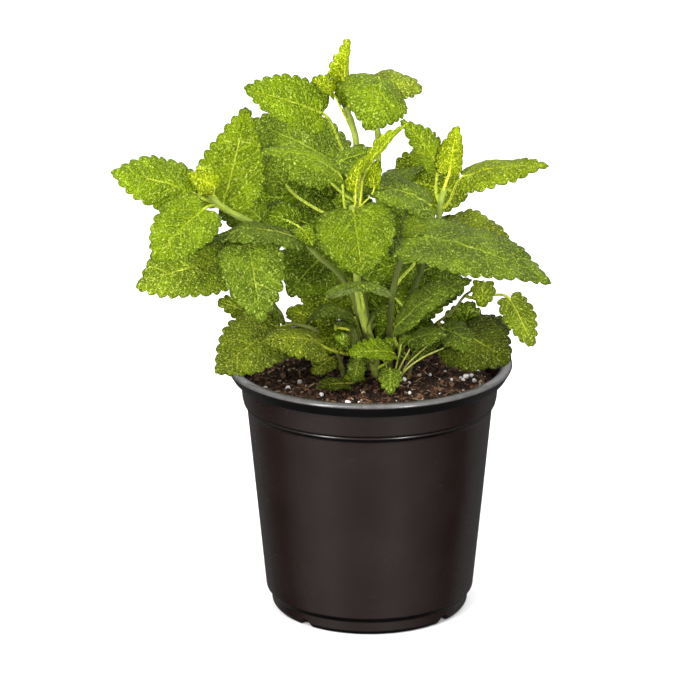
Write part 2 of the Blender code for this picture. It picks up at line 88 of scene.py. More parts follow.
# name: (stem, how far up it, blade base, blade tip, width, way the upper face looks,
#        arch of the midrib, upward fold of each half in degrees, tone)
LEAVES = {
    "leaf_top": ("stem_tall", 0.985, (-10.5, 10, 235), (-9.5, 6, 258.2), 14, (-0.7, -0.8, 0), 1, 42, "young"),
    "leaf_top_small": ("stem_tall", 0.95, (-16, 3, 235), (-25, -1, 242), 10, (0, -0.6, 0.8), 1, 18, "young"),
    "leaf_top_left": ("stem_tall", 0.80, (-21, 3, 226), (-54, -14, 241), 23, (0, -0.85, 0.55), 2, 10, "young"),
    "leaf_top_right": ("stem_top_right", 0.97, (4, 4, 241), (-1, -16, 223), 32, (0.35, -0.75, 0.55), 5, -16, "young"),
    "leaf_top_right_back": ("stem_top_right", 0.88, (-1, 26, 232), (23, 24, 231), 22, (0.1, -0.45, 0.88), 3, -8, "mid"),
    "leaf_upper_left_back": ("stem_tall", 0.70, (-15, 22, 198), (-53, 34, 214), 34, (0.05, -0.72, 0.66), 3, -4, "mid"),
    "leaf_centre_left": ("stem_front", 0.95, (-14, -22, 206), (-46, -32, 217), 19, (0.05, -0.30, 0.95), 4, -6, "young"),
    "leaf_centre_right": ("stem_front", 0.94, (-2, -16, 204), (17, -22, 228), 12, (-0.45, -0.35, 0.8), 2, 22, "young"),
    "leaf_centre_tip": ("stem_front", 0.985, (-6, -22, 198), (-3, -21, 212), 9, (-0.6, -0.8, 0), 1, 45, "young"),
    "leaf_centre_back": ("stem_tall", 0.66, (-16, -2, 203), (4, -6, 211), 17, (0, -0.45, 0.9), 2, -6, "deep"),
    "leaf_heart": ("stem_front", 0.90, (-7, -27, 190), (-3, -43, 166), 34, (0, -0.92, 0.4), 3, 5, "young"),
    "leaf_umbrella": ("stem_front", 0.52, (-4, -26, 155), (-4, -56, 163), 31, (0, -0.12, 1), 3, -20, "mid"),
    "leaf_left_tip": ("stem_left", 0.985, (-68, -10, 197), (-79, -14, 203), 11, (0, -0.9, 0.4), 1, 15, "young"),
    "leaf_left_outer": ("stem_left", 0.97, (-77, -5, 192), (-112, -12, 203.3), 26, (0, -0.72, 0.7), 3, -6, "young"),
    "leaf_left_upright": ("stem_left", 0.87, (-64, -1, 186), (-54, 14, 225.5), 30, (-0.1, -0.95, 0.25), -3, 8, "young"),
    "leaf_left_bright": ("stem_left", 0.93, (-71.5, -24, 190), (-93.5, -36, 170), 25.5, (-0.1, -0.85, 0.5), 3, 6, "young"),
    "leaf_left_arch": ("stem_left_mid", 0.985, (-31, -20, 176), (-75, -24, 172), 20, (0, -0.2, 1), 7, -12, "mid"),
    "leaf_left_hanging": ("stem_left", 0.76, (-53, -23, 176), (-46.5, -41, 144.5), 27.5, (0.05, -0.85, 0.5), 4, 6, "mid"),
    "leaf_left_lower": ("stem_left", 0.70, (-62, -6, 161.5), (-102, -18, 153), 29, (0, -0.78, 0.62), 5, 4, "mid"),
    "leaf_back_left_a": ("stem_back", 0.80, (-23, 40, 176), (-52, 38, 178), 25, (0, -0.8, 0.6), 3, 4, "deep"),
    "leaf_back_left_b": ("stem_left", 0.34, (-18, 4, 163), (-36, -3, 145), 28, (0, -0.75, 0.66), 3, 4, "deep"),
    "leaf_back_left_c": ("stem_back", 0.62, (-11, 25, 174), (-30, 19, 167), 26, (0, -0.7, 0.7), 3, 4, "deep"),
    "leaf_low_mid_left": ("stem_left_low", 0.55, (-15, 6, 151), (-24, 3, 128), 24, (-0.1, -0.85, 0.5), 2, 6, "deep"),
    "leaf_low_left": ("stem_left_low", 0.97, (-39, -9, 132), (-67, -27, 116.5), 29.5, (-0.05, -0.78, 0.62), 4, 5, "mid"),
    "leaf_low_dusty": ("stem_front", 0.24, (-21, -20, 127), (-47, -31, 132), 20, (0.05, -0.5, 0.86), 4, -16, "mid"),
    "leaf_low_round": ("stem_left_low", 0.32, (-17, -13, 119), (-25, -20, 114), 10, (0, -0.8, 0.6), 1, 8, "mid"),
    "leaf_basal_arch": ("stem_front", 0.28, (-8, -12, 138), (-28, -12, 134), 11, (0, -0.2, 1), 6, -8, "mid"),
    "leaf_front_bright": ("stem_front", 0.18, (10, -12, 121), (-9, -30, 127), 13, (0, -0.65, 0.76), 1, 16, "young"),
    "leaf_front_round": ("stem_front", 0.21, (-5, -23, 121), (-7, -28, 113), 8, (0, -0.9, 0.4), 0, 6, "mid"),
    "leaf_front_low": ("stem_front", 0.15, (9, -14, 114), (9, -27, 107), 10, (0, -0.8, 0.6), 1, 4, "mid"),
    "leaf_soil": ("stem_left_mid", 0.18, (-4, -10, 110), (-12, -16, 108), 8, (0, -0.25, 0.97), 1, -4, "deep"),
    "leaf_right_tip": ("stem_right", 0.985, (35, 2, 200), (38, 2, 220), 14, (-0.3, -1, 0), 0, 34, "young"),
    "leaf_right_upper": ("stem_right", 0.93, (29, 2, 203), (13.5, -7, 225), 17, (0.5, -0.7, 0.5), 2, 10, "young"),
    "leaf_right_outer": ("stem_right", 0.90, (42, -2, 199), (77.5, -10, 205.5), 20, (0, -0.44, 0.9), 2, -14, "young"),
    "leaf_right_back_dark": ("stem_top_right", 0.66, (13, 40, 186), (44, 38, 179), 30, (0, -0.9, 0.45), 2, 6, "deep"),
    "leaf_right_mid_grey": ("stem_right_mid", 0.96, (26, -6, 187), (-4, -12, 196), 24, (0, -0.42, 0.9), 4, -6, "mid"),
    "leaf_right_mid_back": ("stem_right", 0.60, (33, 30, 164), (64, 28, 157.5), 27, (0, -0.55, 0.83), 5, -4, "mid"),
    "leaf_right_big": ("stem_right_mid", 0.80, (15, -26, 179), (77.5, -54, 166), 33.5, (0.12, -0.42, 0.9), 5, -6, "mid"),
    "leaf_right_under": ("stem_right_mid", 0.62, (18, 4, 158), (-3, 5, 151), 22, (0, -0.72, 0.7), 2, 6, "deep"),
    "leaf_right_dark": ("stem_top_right", 0.36, (22, 38, 148), (42, 42, 132), 24, (0, -0.7, 0.7), 2, 4, "deep"),
    "leaf_right_lowmid": ("stem_right_low", 0.30, (13, -20, 137), (44, -30, 160), 21, (0.05, -0.42, 0.9), 3, 4, "mid"),
    "leaf_right_small": ("stem_right_low", 0.985, (50, -11, 153), (49, -15, 143), 10, (0, -0.9, 0.4), 1, 6, "mid"),
    "leaf_right_hang": ("stem_right_low", 0.88, (61.5, -10, 145), (71.5, -18, 126), 14, (0.25, -0.92, 0.3), 2, 6, "mid"),
    "leaf_right_low": ("stem_right_low", 0.62, (38, -8, 129.5), (60.5, -26, 120.5), 32, (0.1, -0.75, 0.65), 4, -10, "deep"),
    "leaf_right_low_small": ("stem_right_low", 0.35, (19, -14, 128), (34, -20, 131), 12, (0, -0.5, 0.85), 2, -6, "mid"),
    "leaf_back_upper": ("stem_back", 0.985, (-16, 58, 184), (-40, 74, 188), 27, (0.1, 0.35, 0.9), 4, 6, "mid"),
    "leaf_back_right": ("stem_back", 0.90, (2, 56, 176), (34, 70, 170), 28, (0.1, 0.4, 0.9), 4, 6, "mid"),
    "leaf_back_low": ("stem_back", 0.55, (-14, 52, 148), (-44, 68, 136), 28, (-0.2, 0.5, 0.85), 5, 6, "deep"),
}

# smaller and inner leaves, in the same form
SMALL_LEAVES = {
    "leaf_low_left_top": ("stem_left_low", 0.93, (-55, 4, 135), (-67, -2, 141.6), 11, (0, -0.7, 0.7), 1, 6, "mid"),
    "leaf_low_left_mid": ("stem_left_low", 0.74, (-38, 0, 131.6), (-47, -6, 142), 12, (0, -0.4, 0.9), 2, -6, "mid"),
    "leaf_low_left_back": ("stem_left_mid", 0.36, (-26, 6, 130.5), (-37, 12, 133), 12, (0, -0.6, 0.8), 2, 5, "deep"),
    "leaf_low_shade": ("stem_left_mid", 0.27, (-11, 0, 124.2), (-30, -8, 123), 17, (0, -0.6, 0.8), 2, 4, "deep"),
    "leaf_low_pale": ("stem_front", 0.22, (-8, -15, 123), (-15, -20, 130.7), 10, (0, -0.5, 0.85), 2, 6, "mid"),
    "leaf_half_buried": ("stem_left_mid", 0.17, (-10, -22, 110.3), (-23, -30, 110.6), 11, (0, -0.3, 0.95), 1, 4, "deep"),
    "leaf_arc_left": ("stem_front", 0.24, (-6, -11, 124.5), (-16, -17, 136.3), 9, (-0.2, -0.2, 1), 5, -8, "mid"),
    "leaf_stem_leaflet": ("stem_left_mid", 0.97, (-30, -16, 179.4), (-25, -21, 172.2), 9, (0.3, -0.8, 0.5), 1, 8, "young"),
    "leaf_left_apex": ("stem_left", 0.97, (-70, -6, 193.9), (-74, -1, 203.5), 12, (0, -0.9, 0.4), 1, 12, "young"),
    "leaf_fill_right_a": ("stem_right", 0.40, (11, 16, 141.4), (33, 18, 153.8), 28, (0, -0.75, 0.65), 3, 4, "deep"),
    "leaf_fill_right_b": ("stem_right", 0.33, (14, 20, 134.4), (38, 24, 139.7), 26, (0, -0.7, 0.7), 3, 4, "deep"),
    "leaf_fill_mid_a": ("stem_tall", 0.21, (4, 22, 129.1), (-4, 22, 146.4), 26, (0, -0.8, 0.6), 2, 4, "deep"),
    "leaf_fill_mid_b": ("stem_right", 0.27, (12, 22, 124.4), (28, 16, 120.8), 24, (0, -0.6, 0.8), 3, 4, "deep"),
    "leaf_fill_mid_c": ("stem_tall", 0.16, (0, 26, 118.5), (-11, 32, 121.2), 24, (0, -0.6, 0.8), 2, 4, "deep"),
    "leaf_fill_left_a": ("stem_left_mid", 0.42, (-10, 14, 137.3), (-21, 18, 144), 24, (0, -0.75, 0.65), 2, 4, "deep"),
    "leaf_arc_right": ("stem_front", 0.30, (0, -9, 130.4), (9, -13, 142.9), 9, (0.3, -0.2, 1), 4, -8, "mid"),
    "leaf_crown_grey": ("stem_right_low", 0.28, (20, -7, 119.9), (34, -9, 127.6), 12, (0, -0.5, 0.87), 2, -4, "mid"),
    "leaf_crown_small": ("stem_right_low", 0.29, (13, -6, 120.5), (19, -8, 127.7), 8, (0, -0.4, 0.9), 1, 4, "mid"),
    "leaf_crown_tiny": ("stem_right_mid", 0.17, (10, 2, 117), (7, 0, 124.2), 8, (0, -0.6, 0.8), 1, 4, "mid"),
    "leaf_right_low_front": ("stem_right_low", 0.61, (32, -12, 132.3), (50, -20, 123.7), 15, (0.1, -0.6, 0.8), 2, -6, "mid"),
    "leaf_right_low_edge": ("stem_right_low", 0.61, (53, 2, 130), (63, 0, 128.6), 9, (0, -0.6, 0.8), 2, -4, "mid"),
    "leaf_centre_bud": ("stem_front", 0.97, (2, -15, 197.8), (4, -13, 208.8), 8, (-0.5, -0.8, 0.2), 1, 20, "young"),
    "leaf_right_inner": ("stem_right_mid", 0.93, (25, -19, 181.8), (14, -29, 179), 14, (0, -0.55, 0.85), 2, 6, "young"),
    "leaf_fill_upper_a": ("stem_left", 0.59, (-18, 16, 167.1), (-38, 17, 175.6), 30, (0, -0.8, 0.6), 3, 4, "deep"),
    "leaf_fill_upper_b": ("stem_tall", 0.53, (-14, 24, 173.3), (-26, 26, 190.4), 28, (0, -0.8, 0.6), 2, 4, "deep"),
    "leaf_fill_upper_c": ("stem_tall", 0.51, (-10, 20, 170), (-2, 22, 186.1), 22, (0, -0.8, 0.6), 2, 4, "deep"),
    "leaf_fill_upper_d": ("stem_right_mid", 0.80, (21, 6, 171.3), (5, 3, 184.4), 22, (0, -0.6, 0.8), 3, -4, "mid"),
    "leaf_fill_upper_e": ("stem_top_right", 0.38, (10, 26, 151.2), (28, 30, 160.1), 26, (0, -0.7, 0.7), 3, 4, "deep"),
    "leaf_fill_upper_f": ("stem_left", 0.62, (-32, 12, 172.6), (-50, 10, 178.8), 17, (0, -0.7, 0.7), 2, 4, "deep"),
    "leaf_fill_left_b": ("stem_left", 0.66, (-52, 8, 175.8), (-66.5, 8, 180.6), 14, (0, -0.8, 0.6), 2, 4, "mid"),
    "leaf_fill_left_c": ("stem_left", 0.58, (-47, 8, 174.5), (-56, 6, 185), 13, (0, -0.8, 0.6), 2, 4, "mid"),
    "leaf_fill_left_d": ("stem_tall", 0.56, (-37, 16, 190), (-48, 15, 202.6), 17, (0, -0.8, 0.6), 2, 4, "mid"),
    "leaf_fill_right_c": ("stem_top_right", 0.22, (13, 24, 121), (6, 24, 135), 22, (0, -0.8, 0.6), 2, 4, "deep"),
    "leaf_right_low_peak": ("stem_right_low", 0.60, (41, 1, 126), (45, 2, 140.5), 19, (0, -0.8, 0.6), 2, 4, "deep"),
    "leaf_top_under": ("stem_tall", 0.97, (-9, 9, 230.5), (-15, 7, 238), 10, (0, -0.8, 0.6), 1, 10, "young"),
    "leaf_rear_a": ("stem_back", 0.70, (-6, 57, 165), (-8, 76, 158), 24, (0, 0.6, 0.8), 4, 4, "mid"),
    "leaf_rear_b": ("stem_top_right", 0.46, (18, 40, 163), (44, 56, 156), 26, (0.2, 0.6, 0.8), 4, 4, "mid"),
    "leaf_rear_c": ("stem_right", 0.36, (26, 26, 136), (34, 44, 126), 20, (0.3, 0.5, 0.8), 4, 4, "mid"),
    "leaf_rear_d": ("stem_left", 0.36, (-28, 30, 146), (-52, 46, 136), 26, (-0.3, 0.5, 0.8), 4, 4, "mid"),
    "leaf_rear_e": ("stem_left", 0.55, (-42, 22, 156), (-62, 38, 148), 24, (-0.2, 0.5, 0.85), 4, 4, "mid"),
    "leaf_rear_f": ("stem_tall", 0.62, (-8, 26, 188), (-14, 50, 194), 24, (0, 0.3, 0.95), 4, 4, "mid"),
    "leaf_rear_g": ("stem_top_right", 0.64, (12, 30, 188), (30, 47, 188), 24, (0.1, 0.4, 0.9), 4, 4, "mid"),
    "leaf_rear_h": ("stem_back", 0.30, (8, 44, 128), (24, 58, 118), 22, (0.2, 0.6, 0.8), 4, 4, "deep"),
    "leaf_rear_i": ("stem_back", 0.34, (-10, 40, 130), (-20, 54, 120), 20, (-0.2, 0.6, 0.8), 4, 4, "deep"),
}

# how bright each leaf is beside its tone, and how far it has yellowed; the brightness is partly the leaf's own tone and
# partly painted light and shade for how lit the leaf is where it sits
LOOK = {
    "leaf_top": (1.3, 0.8), "leaf_top_small": (1.15, 0.5), "leaf_top_left": (0.95, 0), "leaf_top_right": (0.85, 0),
    "leaf_top_right_back": (1.2, 0.6), "leaf_upper_left_back": (1.2, 0), "leaf_centre_left": (0.9, 0),
    "leaf_centre_right": (1.25, 0.6), "leaf_centre_tip": (1.1, 0.8), "leaf_centre_back": (1.9, 0),
    "leaf_heart": (0.6, 0), "leaf_umbrella": (0.9, 0), "leaf_left_tip": (1, 0.7), "leaf_left_outer": (0.95, 0),
    "leaf_left_upright": (0.85, 0.1), "leaf_left_bright": (0.8, 0), "leaf_left_arch": (0.7, 0),
    "leaf_left_hanging": (0.85, 0), "leaf_left_lower": (1.25, 0.3), "leaf_back_left_a": (3.7, 0),
    "leaf_back_left_b": (1.4, 0), "leaf_low_mid_left": (1.65, 0.4), "leaf_low_left": (0.65, 0.55),
    "leaf_low_dusty": (0.7, 0.7), "leaf_low_round": (0.5, 0.8), "leaf_basal_arch": (0.45, 0),
    "leaf_front_bright": (0.9, 0), "leaf_front_round": (0.45, 0), "leaf_front_low": (1.05, 0),
    "leaf_soil": (0.9, 0.8), "leaf_right_tip": (1.1, 0.8), "leaf_right_upper": (0.95, 0.1),
    "leaf_right_outer": (0.75, 0.4), "leaf_right_back_dark": (2.25, 0.5), "leaf_right_mid_grey": (0.95, 0),
    "leaf_right_mid_back": (1.05, 0.6), "leaf_right_big": (0.8, 0), "leaf_right_under": (1.65, 0),
    "leaf_right_dark": (1.2, 0), "leaf_right_lowmid": (0.75, 0), "leaf_right_small": (1.05, 0.4),
    "leaf_right_hang": (0.85, 0.4), "leaf_right_low": (0.55, 0.6), "leaf_right_low_small": (0.65, 0),
    "leaf_low_left_top": (1.4, 0.5), "leaf_low_left_mid": (0.8, 0), "leaf_low_left_back": (2.4, 0.7),
    "leaf_low_shade": (1.7, 0.5), "leaf_low_pale": (1.15, 0), "leaf_half_buried": (0.4, 1),
    "leaf_arc_left": (0.5, 0), "leaf_stem_leaflet": (0.9, 0), "leaf_left_apex": (1.6, 0.5),
    "leaf_fill_right_a": (1.55, 0), "leaf_fill_right_b": (1.3, 0), "leaf_fill_mid_a": (1.4, 0),
    "leaf_fill_mid_b": (1.6, 0), "leaf_fill_mid_c": (1.6, 0), "leaf_fill_left_a": (1.8, 0),
    "leaf_arc_right": (0.65, 0), "leaf_crown_grey": (0.55, 0), "leaf_crown_tiny": (1.4, 0),
    "leaf_right_low_front": (0.5, 0), "leaf_right_low_edge": (0.8, 0), "leaf_centre_bud": (1.45, 0.5),
    "leaf_right_inner": (0.5, 0), "leaf_fill_upper_a": (0.95, 0), "leaf_fill_upper_b": (1.45, 0),
    "leaf_fill_upper_c": (1.8, 0), "leaf_fill_upper_d": (1.8, 0), "leaf_fill_upper_f": (2.05, 0),
    "leaf_fill_left_b": (0.8, 0), "leaf_fill_left_c": (1.5, 0), "leaf_fill_left_d": (1.2, 0),
    "leaf_fill_right_c": (2.4, 0), "leaf_right_low_peak": (1.5, 0), "leaf_rear_f": (1.4, 0),
    "leaf_rear_g": (0.95, 0),
}

# ---- how a blade is drawn ------------------------------------------------
# one margin from the stalk to the tip: share of the length, share of the half width
MARGIN = ((0.0, 0.05), (-0.045, 0.16), (-0.082, 0.34), (-0.070, 0.57), (0.0, 0.79), (0.13, 0.94), (0.28, 1.0),
          (0.44, 0.955), (0.59, 0.855), (0.73, 0.675), (0.85, 0.44), (0.94, 0.20), (1.0, 0.015))
# painted shade: how much the foliage round it darkens the lower part of a stem
FOLIAGE_SHADE = {"stem_right": 0.75, "stem_right_mid": 0.65, "stem_left_mid": 0.65, "stem_left_low": 0.60, "stem_tall": 0.55,
       "stem_back": 0.40, "stem_top_right": 0.45, "stem_front": 0.12}
# bare stalks that rise from the crown: radius, points
SPRIGS = {
    "stalk_a": (0.50, [(9, -11, 103), (11.5, -13, 114), (13, -14, 121), (14, -14, 126)]),
    "stalk_b": (0.45, [(10, -12, 103), (13, -14, 114), (17, -14, 122), (20, -13, 128)]),
    "stalk_c": (0.55, [(11, -12, 103), (15, -15, 113), (23, -16, 120), (33, -15, 124.5)]),
    "stalk_d": (0.40, [(8, -11, 103), (8, -13, 113), (5, -13, 120), (4, -12, 124)]),
    "stalk_e": (0.45, [(11, -11, 103), (16, -13, 115), (25, -12, 124), (31, -10, 129)]),
}
ACUTE = ("leaf_top", "leaf_left_upright", "leaf_right_tip", "leaf_right_outer", "leaf_right_upper",
         "leaf_centre_tip", "leaf_centre_right", "leaf_right_lowmid", "leaf_left_arch", "leaf_left_tip")
TOOTH_PITCH = 4.7
TOOTH_ROWS = 10
CELL = 0.42                  # spacing of the mesh across a blade
LEAF_THICKNESS = 0.34


def collection(name):
    col = bpy.data.collections.new(name)
    bpy.context.scene.collection.children.link(col)
    return col


LOOKS = collection("looks")


# ---- node helpers --------------------------------------------------------
class Tree:
    """Short calls for building a material's nodes."""

    def __init__(self, name):
        self.mat = bpy.data.materials.new(name)
        self.mat.use_nodes = True
        self.nodes = self.mat.node_tree.nodes
        self.links = self.mat.node_tree.links
        self.bsdf = self.nodes["Principled BSDF"]

    def put(self, socket, value):
        if isinstance(value, bpy.types.NodeSocket):
            self.links.new(value, socket)
        elif value is not None:
            socket.default_value = value

    def attribute(self, name, colour=False):
        n = self.nodes.new("ShaderNodeAttribute")
        n.attribute_type = "GEOMETRY"
        n.attribute_name = name
        return n.outputs["Color"] if colour else n.outputs["Fac"]

    def uv(self, name):
        n = self.nodes.new("ShaderNodeUVMap")
        n.uv_map = name
        return n.outputs["UV"]

    def position(self):
        return self.nodes.new("ShaderNodeTexCoord").outputs["Object"]

    def noise(self, vector, scale, detail=3.0, rough=0.5, out="Fac"):
        n = self.nodes.new("ShaderNodeTexNoise")
        self.put(n.inputs["Vector"], vector)
        self.put(n.inputs["Scale"], scale)
        self.put(n.inputs["Detail"], detail)
        self.put(n.inputs["Roughness"], rough)
        return n.outputs[out]

    def voronoi(self, vector, scale, feature="F1", out="Distance", random=1.0):
        n = self.nodes.new("ShaderNodeTexVoronoi")
        n.feature = feature
        self.put(n.inputs["Vector"], vector)
        self.put(n.inputs["Scale"], scale)
        self.put(n.inputs["Randomness"], random)
        return n.outputs[out]

    def math(self, op, a, b=None, c=None, clamp=False):
        n = self.nodes.new("ShaderNodeMath")
        n.operation = op
        n.use_clamp = clamp
        for i, v in enumerate((a, b, c)):
            self.put(n.inputs[i], v)
        return n.outputs[0]

    def ramp(self, value, low, high, to_low=0.0, to_high=1.0, smooth=True):
        n = self.nodes.new("ShaderNodeMapRange")
        n.interpolation_type = "SMOOTHSTEP" if smooth else "LINEAR"
        for k, v in (("Value", value), ("From Min", low), ("From Max", high), ("To Min", to_low), ("To Max", to_high)):
            self.put(n.inputs[k], v)
        return n.outputs["Result"]

    def mix(self, share, a, b, blend="MIX"):
        n = self.nodes.new("ShaderNodeMix")
        n.data_type = "RGBA"
        n.blend_type = blend
        self.put(n.inputs[0], share)
        self.put(n.inputs[6], (*a, 1.0) if isinstance(a, tuple) else a)
        self.put(n.inputs[7], (*b, 1.0) if isinstance(b, tuple) else b)
        return n.outputs[2]

    def bump(self, height, strength, distance, normal=None):
        n = self.nodes.new("ShaderNodeBump")
        self.put(n.inputs["Strength"], strength)
        self.put(n.inputs["Distance"], distance)
        self.put(n.inputs["Height"], height)
        self.put(n.inputs["Normal"], normal)
        return n.outputs["Normal"]

    def finish(self, colour, rough, normal=None, **constants):
        self.put(self.bsdf.inputs["Base Color"], (*colour, 1.0) if isinstance(colour, tuple) else colour)
        self.put(self.bsdf.inputs["Roughness"], rough)
        if normal is not None:
            self.put(self.bsdf.inputs["Normal"], normal)
        for key, value in constants.items():
            self.bsdf.inputs[key.replace("_", " ")].default_value = value
        return self.mat


# ---- materials -----------------------------------------------------------
LEAF_TONES = {
    # field between the veins, its shaded hollows, veins, underside
    "young": ((0.128, 0.210, 0.001), (0.050, 0.092, 0.0004), (0.400, 0.510, 0.012), (0.200, 0.270, 0.020)),
    "mid": ((0.088, 0.148, 0.003), (0.028, 0.052, 0.0006), (0.300, 0.385, 0.028), (0.150, 0.210, 0.032)),
    "deep": ((0.046, 0.078, 0.001), (0.011, 0.021, 0.0003), (0.170, 0.238, 0.010), (0.080, 0.120, 0.012)),
}


def leaf_material(tone):
    ground, hollow, vein_colour, under_colour = LEAF_TONES[tone]
    t = Tree("leaf_" + tone)
    flat = t.uv("LeafMM")
    phase = t.attribute("phase")
    gap = t.attribute("gap")
    middle = t.attribute("middle")
    reach = t.attribute("reach")
    edge = t.attribute("edge")
    under = t.attribute("under")
    quilt = t.attribute("quilt")
    stalk = t.attribute("stalk")
    shade = t.attribute("shade")
    age = t.attribute("age")
    broad = t.noise(flat, 0.085, 2.0)
    patch = t.noise(flat, 0.42, 3.0, 0.6)
    fine = t.noise(flat, 1.6, 4.0, 0.65)

    # side veins, their forks near the margin, the midrib and the fine net, as thin pale lines
    def line(offset, narrow):
        away = t.math("MULTIPLY", t.math("PINGPONG", t.math("ADD", phase, offset), 0.5), gap)
        width = t.ramp(reach, 0.0, 1.0, narrow, narrow * 0.45, smooth=False)
        return t.math("SUBTRACT", 1.0, t.math("DIVIDE", away, width), clamp=True)

    side_vein = line(0.0, 0.62)
    fork = t.math("MULTIPLY", line(0.5, 0.42), t.ramp(reach, 0.45, 0.75))
    rib = t.math("SUBTRACT", 1.0, t.math("DIVIDE", middle, t.ramp(t.attribute("share"), 0.0, 1.0, 0.85, 0.35)), clamp=True)
    cell = t.voronoi(flat, 0.66, "DISTANCE_TO_EDGE")
    net = t.ramp(cell, 0.02, 0.15, 1.0, 0.0)
    dome = t.ramp(cell, 0.0, 0.34)
    net2 = t.ramp(t.voronoi(flat, 1.35, "DISTANCE_TO_EDGE"), 0.0, 0.14, 1.0, 0.0)
    broken = t.ramp(fine, 0.40, 0.60, 0.15, 1.0)
    gleam = t.ramp(patch, 0.40, 0.66, 0.25, 1.0)
    net_shown = t.math("MULTIPLY", t.math("MULTIPLY", net, broken), gleam)
    net_shown = t.math("MAXIMUM", net_shown, t.math("MULTIPLY", t.math("MULTIPLY", net2, broken), 0.45))
    fade = t.ramp(edge, 0.3, 1.6)
    veins = t.math("MAXIMUM", t.math("MULTIPLY", side_vein, 0.85), t.math("MULTIPLY", fork, 0.6))
    veins = t.math("MULTIPLY", veins, fade)
    veins = t.math("MAXIMUM", veins, rib)

    # painted shade and highlight: the hollows between the domes are painted in the shaded green and the domes in the
    # field colour, and in broad patches the domes are painted brighter still
    dome_lit = t.math("MULTIPLY_ADD", t.math("MULTIPLY", dome, t.ramp(quilt, 0.0, 0.7, 0.40, 1.0)), 0.95, 0.05)
    colour = t.mix(dome_lit, hollow, ground)
    lively = tuple(min(1.0, c * k) for c, k in zip(ground, (1.40, 1.22, 1.1)))
    colour = t.mix(t.ramp(broad, 0.42, 0.66), colour, t.mix(dome_lit, ground, lively))
    colour = t.mix(t.ramp(patch, 0.48, 0.70, 0.0, 0.60), colour, hollow)
    colour = t.mix(t.ramp(edge, 0.0, 3.5, 0.35, 0.0), colour, hollow)
    colour = t.mix(t.math("MULTIPLY", net_shown, 0.70), colour, vein_colour)
    colour = t.mix(t.math("MULTIPLY", veins, 0.75), colour, vein_colour)
    # painted highlight: small pale glints along a fine net, in the glint colour
    glint_mask = t.math("MULTIPLY", t.ramp(t.voronoi(flat, 0.62, "DISTANCE_TO_EDGE"), 0.02, 0.13, 1.0, 0.0),
                   t.ramp(t.noise(flat, 0.95, 2.0, 0.5), 0.54, 0.60))
    glint = tuple(min(1.0, 0.50 * c + 0.50 * k) for c, k in zip(vein_colour, (0.72, 0.82, 0.22)))
    colour = t.mix(t.math("MULTIPLY", glint_mask, {"young": 0.62, "mid": 0.55, "deep": 0.42}[tone]), colour, glint)
    colour = t.mix(t.ramp(edge, 0.05, 0.55, 0.60, 0.0), colour, hollow)
    below = t.mix(t.math("MAXIMUM", veins, t.math("MULTIPLY", net, 0.5)), under_colour,
                  tuple(0.5 * c + 0.5 * k for c, k in zip(under_colour, (0.60, 0.66, 0.26))))
    below = t.mix(t.ramp(patch, 0.35, 0.7, 0.0, 0.4), below, ground)
    colour = t.mix(under, colour, below)
    stalk_colour = tuple(0.45 * c + 0.55 * k for c, k in zip(vein_colour, (0.42, 0.49, 0.07)))
    colour = t.mix(stalk, colour, stalk_colour)
    # each leaf's colour is scaled by its brightness from LOOK, partly its own tone and partly painted light and shade
    bright = t.nodes.new("ShaderNodeVectorMath")
    bright.operation = "SCALE"
    t.put(bright.inputs[0], colour)
    t.put(bright.inputs["Scale"], shade)
    colour = bright.outputs[0]
    colour = t.mix(age, colour, t.mix(1.0, colour, (1.45, 1.22, 0.9), "MULTIPLY"))
    height = t.math("ADD", t.math("MULTIPLY", t.ramp(quilt, 0.0, 0.8), 0.45), t.math("MULTIPLY", fine, 0.45))
    height = t.math("ADD", height, t.math("MULTIPLY", dome, 0.8))
    height = t.math("SUBTRACT", height, t.math("MULTIPLY", veins, 0.35))
    normal = t.bump(height, 1.0, 0.00065)
    rough = t.ramp(fine, 0.3, 0.7, 0.30, 0.46)
    gloss, fuzz = {"young": (0.10, 0.0), "mid": (0.09, 0.01), "deep": (0.08, 0.0)}[tone]
    return t.finish(colour, rough, normal, Specular_IOR_Level=gloss, Sheen_Weight=fuzz, Sheen_Roughness=0.35,
                    Subsurface_Weight=0.05, Subsurface_Radius=(0.0010, 0.0014, 0.0002), Subsurface_Scale=0.5)


def stem_material():
    t = Tree("stem_green")
    where = t.position()
    rise = t.attribute("rise")
    knot = t.attribute("knot")
    streak = t.noise(where, 900.0, 2.0, 0.6)
    colour = t.mix(t.ramp(rise, 0.0, 0.75), (0.200, 0.185, 0.030), (0.235, 0.300, 0.024))
    colour = t.mix(t.ramp(streak, 0.35, 0.7, 0.0, 0.45), colour, (0.380, 0.430, 0.095))
    colour = t.mix(t.math("MULTIPLY", knot, 0.45), colour, (0.150, 0.220, 0.020))
    colour = t.mix(t.attribute("brown"), colour, (0.075, 0.060, 0.018))
    # painted shade on the lower stem from the foliage round it
    colour = t.mix(t.attribute("dim"), colour, (0.030, 0.042, 0.008))
    normal = t.bump(streak, 0.3, 0.0002)
    return t.finish(colour, 0.5, normal, Specular_IOR_Level=0.3, Sheen_Weight=0.08, Sheen_Roughness=0.5,
                    Subsurface_Weight=0.10, Subsurface_Radius=(0.002, 0.002, 0.0006), Subsurface_Scale=0.6)


